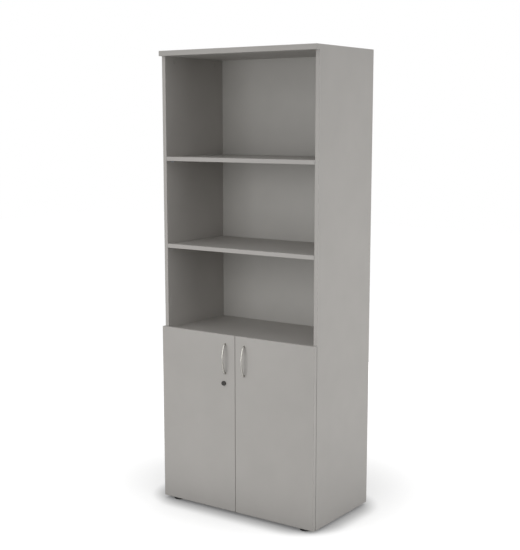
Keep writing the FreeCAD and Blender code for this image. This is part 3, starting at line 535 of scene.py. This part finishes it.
def bow_handle(node, sizes):
    """Bow handle: a ring carried along the bow's line and square to it.

    The ring's radius is the bar's, and grows towards the feet with the square of the distance left in the
    flare.  Its depth shrinks with the fourth power of the distance from the door, most at the crown.  A
    point at each end closes the tube.
    """
    flatter = 0.12
    ring_steps = 36
    low, high = corners(node)
    foot = (high[0] - low[0]) / 2
    half = (high[2] - low[2]) / 2 - foot
    crown = high[1] - low[1] - sizes.bar
    line = bow_line(crown, half, sizes)
    run = np.gradient(line, axis=0)
    run /= np.linalg.norm(run, axis=1, keepdims=True)
    side = np.column_stack([run[:, 1], -run[:, 0]])
    left = np.clip(1 - line[:, 0] / sizes.flare, 0.0, 1.0)
    radius = sizes.bar + (foot - sizes.bar) * left ** 2
    flat = 1 - flatter * np.clip(line[:, 0] / crown, 0.0, 1.0) ** 4
    ends = np.r_[0, np.arange(len(line)), len(line) - 1]
    closed = np.ones(len(ends))
    closed[[0, -1]] = 0.0
    angle = np.linspace(0.0, 2 * np.pi, ring_steps, endpoint=False)
    across = (closed * radius[ends])[:, None] * np.cos(angle)
    depth = (closed * radius[ends] * flat[ends])[:, None] * np.sin(angle)
    out = line[ends, :1] + side[ends, :1] * depth
    height = line[ends, 1:] + side[ends, 1:] * depth
    middle = (low + high) / 2
    points = np.stack([middle[0] + across, high[1] - out, middle[2] + height], axis=-1)
    return lattice(points)


def lock_head(sizes):
    """Lock sleeve: one closed profile turned about the lock's axis.

    The profile runs up the head, round its rim, over a shallow turned groove, down the bore and back along
    the body behind the door.
    """
    step = 1.5 * MM
    play = 0.05 * MM
    chamfer = 0.35 * MM
    cut = 0.3 * MM
    groove_share = 0.55
    low, high = corners("lock_body")
    barrel = np.ptp(corners("lock_barrel"), axis=0)[0] / 2
    bore = barrel + play
    rim = (high[0] - low[0]) / 2
    body = rim - step
    top = sizes.lock_head
    back = top - (high[1] - low[1])
    round_start = rim - sizes.lock_round
    groove = barrel + groove_share * (round_start - barrel)
    profile = np.vstack([
        [[body, 0.0], [rim, 0.0]],
        arc((round_start, top - sizes.lock_round), sizes.lock_round, 0, 90, steps=8),
        [[groove + cut, top], [groove, top - cut], [groove - cut, top]],
        [[bore + chamfer, top], [bore, top - chamfer], [bore, back], [body, back]],
    ])
    foot = np.array([(low[0] + high[0]) / 2, low[1] + top, (low[2] + high[2]) / 2])
    return turned(profile, foot, -BACKWARD, steps=64, ring=True)


def key_barrel(sizes):
    """Lock barrel: rings of rounded rectangles and circles, one behind the other.

    A ring is x = a * |cos t|^(2/n), z = b * |sin t|^(2/n) with the signs of cosine and sine; n is 2 for a
    circle and large for a rectangle.  The first rings are the key slot, the last the square tail.
    """
    slot = 8
    circle = 2
    square = 12
    ring_steps = 64
    slot_depth = 14 * MM
    tail_length = 2.5 * MM
    half_tail = 3.5 * MM
    edge = 0.3 * MM
    low, high = corners("lock_barrel")
    centre = (low + high) / 2
    radius = (high[0] - low[0]) / 2
    front = low[1]
    back = high[1]
    tail = back - tail_length
    slot_x = sizes.key_width / 2
    slot_z = sizes.key_height / 2
    slot_floor = front + slot_depth
    # Half width a, half height b, form n and place of each ring
    rings = np.array([
        [0.0, 0.0, slot, slot_floor],
        [slot_x, slot_z, slot, slot_floor],
        [slot_x, slot_z, slot, front + edge],
        [slot_x + edge, slot_z + edge, slot, front],
        [radius - edge, radius - edge, circle, front],
        [radius, radius, circle, front + edge],
        [radius, radius, circle, tail],
        [half_tail, half_tail, square, tail],
        [half_tail, half_tail, square, back],
        [0.0, 0.0, square, back],
    ])
    angle = np.linspace(0.0, 2 * np.pi, ring_steps, endpoint=False)
    power = 2 / rings[:, 2:3]
    x = centre[0] + rings[:, :1] * np.sign(np.cos(angle)) * np.abs(np.cos(angle)) ** power
    z = centre[2] + rings[:, 1:2] * np.sign(np.sin(angle)) * np.abs(np.sin(angle)) ** power
    y = np.broadcast_to(rings[:, 3:4], x.shape)
    return lattice(np.stack([x, y, z], axis=-1))


def turned_foot(node, sizes):
    """Levelling foot: a turned profile whose rim has finger grips.

    The rim's radius swings by a cosine of 20 waves round the foot; the neck and the stem stay round.
    """
    neck = 13 * MM
    stem = 4 * MM
    shoulder = 12 * MM
    flare = 2 * MM
    edge = 1.5 * MM
    bevel = 0.5 * MM
    hollow = 0.6 * MM
    slope = 1 * MM
    tread = 4 * MM
    grip = 0.6 * MM
    waves = 20
    low, high = corners(node)
    radius = (high[0] - low[0]) / 2
    total = high[2] - low[2]
    rim = sizes.foot_rim
    profile = np.vstack([
        [[0.0, hollow], [radius - tread - slope, hollow], [radius - tread, 0.0]],
        arc((radius - edge, edge), edge, -90, 0),
        arc((radius - edge, rim - edge), edge, 0, 70),
        [[neck + edge, shoulder - flare], [neck, shoulder - bevel], [neck - bevel, shoulder]],
        [[stem, shoulder], [stem, total - bevel], [stem - bevel, total], [0.0, total]],
    ])

    def waved(points, angle):
        """Radius of the profile's points at each angle: the outer ones swing."""
        on_rim = np.clip((points[:, :1] - (radius - 2 * edge)) / edge, 0.0, 1.0)
        return points[:, :1] - grip * on_rim * (1 + np.cos(waves * angle)) / 2

    foot = np.r_[(low + high)[:2] / 2, low[2]]
    return turned(profile, foot, UP, steps=8 * waves, wave=waved)


def screw(low, high, out, head, shank, sizes):
    """Pan-head screw in the space of a loaded one, with its head towards out.

    The head is a flat dome that falls as the root of 1 - r^4, with r the share of its radius, less a
    cross: two bars at right angles, each fading out at its sides and ends.  Behind the head a straight
    shank ends in a short cone.
    """
    # Shares of the head's radius: half width and half length of a bar, and how far each fades out
    half_width = 0.2
    side_fade = 0.07
    half_length = 0.62
    end_fade = 0.2
    # Shares of the head's height: its straight rim, and the deepest recess
    rim = 0.65
    deepest = 0.7

    def bar(crosswise, lengthwise):
        """One bar of the cross: 1 inside and 0 outside."""
        inside = np.clip((half_width - np.abs(crosswise)) / side_fade, 0.0, 1.0)
        short_of_end = np.clip((half_length - np.abs(lengthwise)) / end_fade, 0.0, 1.0)
        return np.minimum(inside, short_of_end)

    axis = np.abs(out)
    middle = (low + high) / 2
    angle, outward = spokes(axis, steps=48)
    radius = np.dot(np.abs(outward[0]), high - low) / 2
    total = np.dot(axis, high - low)
    crown = middle + out * total / 2
    # Even rings over the recess, then rings that get closer towards the rim
    share = np.r_[np.linspace(0.0, 0.75, 13), 0.85, 0.93, 0.98, 1.0][:, None]
    first = share * np.cos(angle)
    second = share * np.sin(angle)
    cross = np.maximum(bar(first, second), bar(second, first))
    dome = head * (rim + (1 - rim) * np.sqrt(1 - share ** 4)) - head
    depth = dome - min(sizes.recess, deepest * head) * cross
    cone = 2 * shank
    tip = 0.2 * shank
    tail = np.array([[radius, -head], [shank, -head], [shank, cone - total], [tip, -total], [0.0, -total]])
    spread = np.vstack([share * radius * np.ones_like(angle), tail[:, :1] * np.ones_like(angle)])
    along = np.vstack([depth, tail[:, 1:] * np.ones_like(angle)])
    return lattice(crown + along[..., None] * out + spread[..., None] * outward)


def buffer(low, high):
    """Door buffer: a low drop on a short straight wall.

    Its profile is radius * cos(a)^fullness and height * (wall + (1 - wall) * sin a), with a from 0 to a
    quarter turn.
    """
    fullness = 0.7
    wall = 0.25
    dome_steps = 10
    middle = (low + high) / 2
    radius = (high[0] - low[0]) / 2
    height = high[1] - low[1]
    turn = np.linspace(0.0, np.pi / 2, dome_steps)
    dome = np.column_stack([radius * np.cos(turn) ** fullness, height * (wall + (1 - wall) * np.sin(turn))])
    profile = np.vstack([[[0.0, 0.0], [radius, 0.0]], dome])
    return turned(profile, np.array([middle[0], low[1], middle[2]]), BACKWARD, steps=32)


def slide_bolt():
    """Slide bolt: a turned rod with a domed nose, and a turned finger knob standing out of it.

    Between its neck and its edge, the knob's radius swings by a cosine of the height, a wave for every
    seventh of the knob's length.
    """
    bevel = 0.4 * MM
    knob = 2.5 * MM
    neck = 0.85 * knob
    edge = 0.8 * MM
    swing = 0.15 * MM
    swing_radians = 44
    ring_steps = 41
    knob_height = 24 * MM
    # Shares of the knob's length
    neck_end = 0.38
    rings_start = 0.4
    rings_end = 0.9
    low, high = corners("slide_bolt")
    radius = (high[0] - low[0]) / 2
    axis_y = low[1] + radius
    foot = np.array([(low[0] + high[0]) / 2, axis_y, low[2]])
    length = high[2] - low[2]
    rod = np.vstack([
        [[0.0, 0.0], [radius - bevel, 0.0], [radius, bevel]],
        arc((0.0, length - radius), radius, 0, 90, steps=10),
    ])
    reach = high[1] - axis_y
    share = np.linspace(rings_start, rings_end, ring_steps)
    rings = np.column_stack([knob - swing + swing * np.cos(swing_radians * share), share * reach])
    stud = np.vstack([
        [[0.0, 0.0], [neck, 0.0], [neck, neck_end * reach]],
        rings,
        arc((knob - edge, reach - edge), edge, 0, 90),
        [[0.0, reach]],
    ])
    knob_foot = foot + UP * knob_height
    return [turned(rod, foot, UP, steps=36), turned(stud, knob_foot, BACKWARD, steps=32)]


class BOOKCASE_OT_boards(bpy.types.Operator):
    """Dress sides, top, bottom, shelves, doors and back with melamine"""
    bl_idname = "bookcase.boards"
    bl_label = "Boards and doors"

    def execute(self, context):
        looks = context.scene.bookcase_boards
        band = looks.band
        door_low, door_high = corners("right_door")
        case_seams = [("Y", corners("left_side")[0][1] + band)]
        top_seams = [("X", TOP_HIGH[0] - band), ("Y", TOP_LOW[1] + band)]
        door_seams = [("X", door_high[0] - band), ("X", door_low[0] + band),
                      ("Z", door_low[2] + band), ("Z", door_high[2] - band)]
        inner_seams = [("Y", corners("cabinet_shelf")[0][1] + band)]
        dress(melamine("melamine_case", looks.board_colour, looks, case_seams),
              "left_side", "right_side", "bottom_panel", "fixed_shelf", "middle_shelf", "upper_shelf")
        dress(melamine("melamine_top", looks.board_colour, looks, top_seams), "top_panel")
        dress(melamine("melamine_doors", looks.board_colour, looks, door_seams), "left_door", "right_door")
        dress(melamine("melamine_inner_shelf", looks.board_colour, looks, inner_seams), "cabinet_shelf")
        dress(melamine("melamine_back", looks.back_colour, looks, []), "back_panel")
        return {"FINISHED"}


class BOOKCASE_OT_hinges(bpy.types.Operator):
    """Dress the cup hinges with bright nickel"""
    bl_idname = "bookcase.hinges"
    bl_label = "Cup hinges"

    def execute(self, context):
        looks = context.scene.bookcase_metals
        nickel = plated_steel("bright_nickel_hinges", looks.hinge_colour, looks, smooth=0.18, dull=0.3)
        parts = ("plates", "arms", "links", "levers", "cups", "cup_pins")
        nodes = [f"{hand}_hinge_{part}" for hand in ("left", "right") for part in parts]
        dress(nickel, "hinge_arm_pins", *nodes)
        return {"FINISHED"}


class BOOKCASE_OT_fittings(bpy.types.Operator):
    """Dress the metal fittings with zinc, the dowels with beech, sockets and caps with plastic"""
    bl_idname = "bookcase.fittings"
    bl_label = "Hidden fittings"

    def execute(self, context):
        metals = context.scene.bookcase_metals
        small = context.scene.bookcase_small_parts
        zinc = plated_steel("zinc_plate_fittings", metals.zinc_colour, metals, smooth=0.26, dull=0.42)
        dress(zinc, "cam_bolts", "cam_housings", "cabinet_shelf_supports", "middle_shelf_supports",
              "upper_shelf_supports", "bolt_bush", "bolt_guide", "lock_nut", "lock_tongue")
        dress(beech("raw_beech_dowels", small), "dowels")
        dress(moulded_plastic("black_plastic_sockets", small.plastic_colour, small), "foot_sockets")
        dress(moulded_plastic("grey_plastic_caps", small.cap_colour, small), "cam_caps")
        return {"FINISHED"}


class BOOKCASE_OT_handles(bpy.types.Operator):
    """Make the two bow handles"""
    bl_idname = "bookcase.handles"
    bl_label = "Bow handles"

    def execute(self, context):
        looks = context.scene.bookcase_metals
        nickel = satin_nickel("satin_nickel_handles", looks.nickel_colour, looks)
        for node in ("left_handle", "right_handle"):
            bow = bow_handle(node, context.scene.bookcase_handles)
            make_piece(f"{node}_bow", [bow], BODY_OF[node], nickel, "satin_nickel", node)
        return {"FINISHED"}


class BOOKCASE_OT_lock(bpy.types.Operator):
    """Make the lock's head and its barrel with a key slot"""
    bl_idname = "bookcase.lock"
    bl_label = "Lock"

    def execute(self, context):
        sizes = context.scene.bookcase_fittings
        looks = context.scene.bookcase_metals
        nickel = satin_nickel("black_nickel_lock", looks.lock_colour, looks)
        make_piece("lock_head", [lock_head(sizes)], BODY_OF["lock_body"], nickel, "satin_nickel",
                   "lock_body")
        make_piece("lock_key_barrel", [key_barrel(sizes)], BODY_OF["lock_barrel"], nickel, "satin_nickel",
                   "lock_barrel")
        return {"FINISHED"}


class BOOKCASE_OT_slide_bolt(bpy.types.Operator):
    """Make the slide bolt of the right door"""
    bl_idname = "bookcase.slide_bolt"
    bl_label = "Slide bolt"

    def execute(self, context):
        looks = context.scene.bookcase_metals
        zinc = plated_steel("zinc_plate_bolt", looks.zinc_colour, looks, smooth=0.24, dull=0.38)
        make_piece("slide_bolt_rod", slide_bolt(), BODY_OF["slide_bolt"], zinc, "zinc_steel", "slide_bolt")
        return {"FINISHED"}


class BOOKCASE_OT_screws(bpy.types.Operator):
    """Make the cross-head screws of handles, hinges, tongue and slide bolt"""
    bl_idname = "bookcase.screws"
    bl_label = "Screws"

    def execute(self, context):
        sizes = context.scene.bookcase_fittings
        looks = context.scene.bookcase_metals
        zinc = plated_steel("zinc_plate_screws", looks.zinc_colour, looks, smooth=0.22, dull=0.36)
        # Height of the head, and radius of the shank
        handle = (2.4 * MM, 2.0 * MM)
        cup = (1.6 * MM, 1.75 * MM)
        bolt = (1.5 * MM, 1.75 * MM)
        tongue = (2.5 * MM, 2.0 * MM)
        plate = (2.0 * MM, 2.1 * MM)
        arm = (2.0 * MM, 2.0 * MM)
        groups = [
            ("left_handle_screws", BACKWARD, handle),
            ("right_handle_screws", BACKWARD, handle),
            ("left_hinge_cup_screws", BACKWARD, cup),
            ("right_hinge_cup_screws", BACKWARD, cup),
            ("bolt_screws", BACKWARD, bolt),
            ("tongue_screw", BACKWARD, tongue),
            ("hinge_plate_screws", RIGHT, plate),
            ("hinge_arm_screws", RIGHT, arm),
        ]
        for node, out, (head, shank) in groups:
            surfaces = []
            for low, high in separate_solids(node):
                # In the right side, the heads face left
                turn = -1 if out is RIGHT and low[0] > 0 else 1
                surfaces.append(screw(low, high, turn * out, head, shank, sizes))
            make_piece(f"{node}_crossed", surfaces, BODY_OF[node], zinc, "zinc_steel", node)
        return {"FINISHED"}


class BOOKCASE_OT_buffers(bpy.types.Operator):
    """Make the soft buffers on the doors' backs"""
    bl_idname = "bookcase.buffers"
    bl_label = "Door buffers"

    def execute(self, context):
        milky = soft_plastic("soft_plastic_buffers", context.scene.bookcase_small_parts)
        for node in ("left_door_buffers", "right_door_buffers"):
            drops = [buffer(low, high) for low, high in separate_solids(node)]
            make_piece(f"{node}_drops", drops, BODY_OF[node], milky, "clear_rubber", node)
        return {"FINISHED"}


class BOOKCASE_OT_feet(bpy.types.Operator):
    """Make the four levelling feet"""
    bl_idname = "bookcase.feet"
    bl_label = "Feet"

    def execute(self, context):
        looks = context.scene.bookcase_small_parts
        black = moulded_plastic("black_plastic_feet", looks.plastic_colour, looks)
        for node in ("front_left_foot", "front_right_foot", "rear_left_foot", "rear_right_foot"):
            pad = turned_foot(node, context.scene.bookcase_fittings)
            make_piece(f"{node}_pad", [pad], BODY_OF[node], black, "black_plastic", node)
        return {"FINISHED"}


def looked_at(tree):
    """1 for rays from the camera, and for those that metal and glass send on, else 0."""
    rays = add_node(tree, "ShaderNodeLightPath")
    sent_on = add_node(tree, "ShaderNodeMath",
                       {0: rays.outputs["Is Glossy Ray"], 1: rays.outputs["Is Transmission Ray"]},
                       operation="MAXIMUM")
    return add_node(tree, "ShaderNodeMath", {0: rays.outputs["Is Camera Ray"], 1: sent_on.outputs[0]},
                    operation="MAXIMUM").outputs[0]


def distance_from(tree, place, low, high):
    """Distance on the floor from a rectangle between two corners, from the floor's Object coordinates."""
    flat = np.array([1.0, 1.0, 0.0])
    half = (flat * (high - low) / 2).tolist()
    middle = (flat * (high + low) / 2).tolist()
    centred = add_node(tree, "ShaderNodeVectorMath", {0: place, 1: middle}, operation="SUBTRACT")
    size = add_node(tree, "ShaderNodeVectorMath", {0: centred.outputs[0]}, operation="ABSOLUTE")
    beyond = add_node(tree, "ShaderNodeVectorMath", {0: size.outputs[0], 1: half}, operation="SUBTRACT")
    outside = add_node(tree, "ShaderNodeVectorMath", {0: beyond.outputs[0], 1: (0.0, 0.0, 0.0)},
                       operation="MAXIMUM")
    length = add_node(tree, "ShaderNodeVectorMath", {0: outside.outputs[0]}, operation="LENGTH")
    return length.outputs["Value"]


def studio_floor(settings):
    """Pale seamless floor.

    The camera, metal and glass see it white away from the bookcase.  Its glow is lowered by the floor's
    own place into a painted shadow: a rounded shade close to the base and a faint oval halo of painted
    shade to the left and back, over the real shadow that the pale layer keeps.  The bookcase gets soft
    light from a band of floor round it, further off on the right, and none from close to the base or from
    far away.
    """
    material, tree, place = new_material("studio_floor")
    distance = distance_from(tree, place, TOP_LOW, TOP_HIGH + (settings.glow_gap, 0.0, 0.0))
    # Painted shadow: a core with rounded corners close to the base and a faint oval halo to the left and
    # back
    inset = settings.painted_shade_round
    outset = inset - settings.painted_shade_spill
    painted_core = distance_from(tree, place, TOP_LOW + (outset, inset, 0.0), TOP_HIGH - (inset, outset, 0.0))
    oval = add_node(tree, "ShaderNodeMapping",
                    {"Vector": place, "Location": settings.painted_halo_centre, "Scale": settings.painted_halo_size},
                    vector_type="TEXTURE")
    spread = add_node(tree, "ShaderNodeVectorMath", {0: oval.outputs["Vector"]}, operation="LENGTH")
    halo = add_node(tree, "ShaderNodeMapRange",
                    {"Value": spread.outputs["Value"], "From Min": settings.painted_halo_start, "From Max": 1.0,
                     "To Min": settings.painted_halo_glow, "To Max": settings.floor_white})
    # Glow that the camera sees, lowered into the painted shadow near the base and the painted halo round it
    white = add_node(tree, "ShaderNodeMapRange",
                     {"Value": painted_core, "From Min": inset, "From Max": inset + settings.painted_shade_reach,
                      "To Min": settings.painted_floor_shade, "To Max": halo.outputs["Result"]},
                     interpolation_type="SMOOTHSTEP")
    rise = add_node(tree, "ShaderNodeMapRange",
                    {"Value": distance, "From Min": settings.glow_start, "From Max": settings.glow_full,
                     "To Min": 0.0, "To Max": settings.floor_light})
    bounce = add_node(tree, "ShaderNodeMapRange",
                      {"Value": distance, "From Min": settings.glow_fade, "From Max": settings.glow_end,
                       "To Min": rise.outputs["Result"], "To Max": 0.0})
    pale = add_node(tree, "ShaderNodeBsdfDiffuse", {"Color": shade(settings.floor_colour, 1.0)})
    glow = add_node(tree, "ShaderNodeEmission", {"Strength": white.outputs["Result"]})
    seen = add_node(tree, "ShaderNodeAddShader", {0: pale.outputs[0], 1: glow.outputs[0]})
    lit = add_node(tree, "ShaderNodeEmission", {"Strength": bounce.outputs["Result"]})
    mix = add_node(tree, "ShaderNodeMixShader", {0: looked_at(tree), 1: lit.outputs[0], 2: seen.outputs[0]})
    add_node(tree, "ShaderNodeOutputMaterial", {"Surface": mix.outputs[0]})
    return material


def studio_sky(settings):
    """Even grey light from all round, white to the camera, metal and glass."""
    world = bpy.data.worlds.new("studio_sky")
    world.use_nodes = True
    tree = world.node_tree
    tree.nodes.clear()
    soft = add_node(tree, "ShaderNodeBackground", {"Color": WHITE, "Strength": settings.sky})
    white = add_node(tree, "ShaderNodeBackground", {"Color": WHITE, "Strength": 1.0})
    mix = add_node(tree, "ShaderNodeMixShader",
                   {0: looked_at(tree), 1: soft.outputs[0], 2: white.outputs[0]})
    add_node(tree, "ShaderNodeOutputWorld", {"Surface": mix.outputs[0]})
    return world


def softbox(name, power, azimuth, height, distance, size):
    """Square area lamp aimed at the bookcase: azimuth 0 is in front of the doors and 90 on the right."""
    lamp = bpy.data.lights.new(name, "AREA")
    lamp.energy = power
    lamp.size = size
    turn = math.radians(azimuth)
    middle = TOP_HIGH[2] / 2
    box = bpy.data.objects.new(name, lamp)
    box.location = (distance * math.sin(turn), -distance * math.cos(turn), height)
    box.rotation_euler = (math.pi / 2 + math.atan2(middle - height, distance), 0.0, turn)
    box.visible_camera = False
    bpy.context.collection.objects.link(box)


class BOOKCASE_OT_stage(bpy.types.Operator):
    """Set up floor, light and camera"""
    bl_idname = "bookcase.stage"
    bl_label = "Studio stage"

    def execute(self, context):
        settings = context.scene.bookcase_stage
        half = settings.floor_size / 2
        mesh = bpy.data.meshes.new("studio_floor")
        sheet = [(-half, -half, 0.0), (half, -half, 0.0), (half, half, 0.0), (-half, half, 0.0)]
        mesh.from_pydata(sheet, [], [(0, 1, 2, 3)])
        mesh.materials.append(studio_floor(settings))
        floor = bpy.data.objects.new("studio_floor", mesh)
        context.collection.objects.link(floor)
        context.scene.world = studio_sky(settings)
        softbox("front_softbox", settings.front_power, azimuth=-9, height=1.25, distance=2.1, size=1.7)
        softbox("side_softbox", settings.side_power, azimuth=95, height=1.1, distance=2.3, size=1.8)
        softbox("back_softbox", settings.back_power, azimuth=205, height=0.9, distance=3.0, size=2.0)
        lens = bpy.data.cameras.new("photo_camera")
        lens.lens = settings.focal_pixels * SENSOR / PHOTO_HEIGHT
        lens.sensor_width = SENSOR
        lens.shift_y = (settings.axis_row - PHOTO_HEIGHT / 2) / PHOTO_HEIGHT
        camera = bpy.data.objects.new("photo_camera", lens)
        camera.location = settings.camera_place
        camera.rotation_euler = (math.pi / 2 - settings.camera_tilt, 0.0, settings.camera_turn)
        context.collection.objects.link(camera)
        context.scene.camera = camera
        context.scene.view_settings.view_transform = "Standard"
        return {"FINISHED"}


GROUPS = {
    "bookcase_boards": BookcaseBoards,
    "bookcase_metals": BookcaseMetals,
    "bookcase_small_parts": BookcaseSmallParts,
    "bookcase_handles": BookcaseHandles,
    "bookcase_fittings": BookcaseFittings,
    "bookcase_stage": BookcaseStage,
}
OPERATORS = (
    BOOKCASE_OT_boards,
    BOOKCASE_OT_hinges,
    BOOKCASE_OT_fittings,
    BOOKCASE_OT_handles,
    BOOKCASE_OT_lock,
    BOOKCASE_OT_slide_bolt,
    BOOKCASE_OT_screws,
    BOOKCASE_OT_buffers,
    BOOKCASE_OT_feet,
    BOOKCASE_OT_stage,
)


class BOOKCASE_PT_sidebar(bpy.types.Panel):
    """Lists the steps and the sizes and colours that they use"""
    bl_idname = "BOOKCASE_PT_sidebar"
    bl_label = "Bookcase"
    bl_space_type = "VIEW_3D"
    bl_region_type = "UI"
    bl_category = "Bookcase"

    def draw(self, context):
        for operator in OPERATORS:
            self.layout.operator(operator.bl_idname)
        for name, group in GROUPS.items():
            box = self.layout.box()
            for prop in group.__annotations__:
                box.prop(getattr(context.scene, name), prop)


def register():
    """Make the classes and their settings known."""
    for name, group in GROUPS.items():
        bpy.utils.register_class(group)
        setattr(bpy.types.Scene, name, bpy.props.PointerProperty(type=group))
    for kind in (*OPERATORS, BOOKCASE_PT_sidebar):
        bpy.utils.register_class(kind)


def unregister():
    """Take the classes and their settings away again."""
    for kind in (BOOKCASE_PT_sidebar, *reversed(OPERATORS)):
        bpy.utils.unregister_class(kind)
    for name, group in reversed(GROUPS.items()):
        delattr(bpy.types.Scene, name)
        bpy.utils.unregister_class(group)


def main():
    """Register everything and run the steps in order."""
    register()
    for operator in OPERATORS:
        family, step = operator.bl_idname.split(".")
        getattr(getattr(bpy.ops, family), step)()


if __name__ == "__main__":
    main()
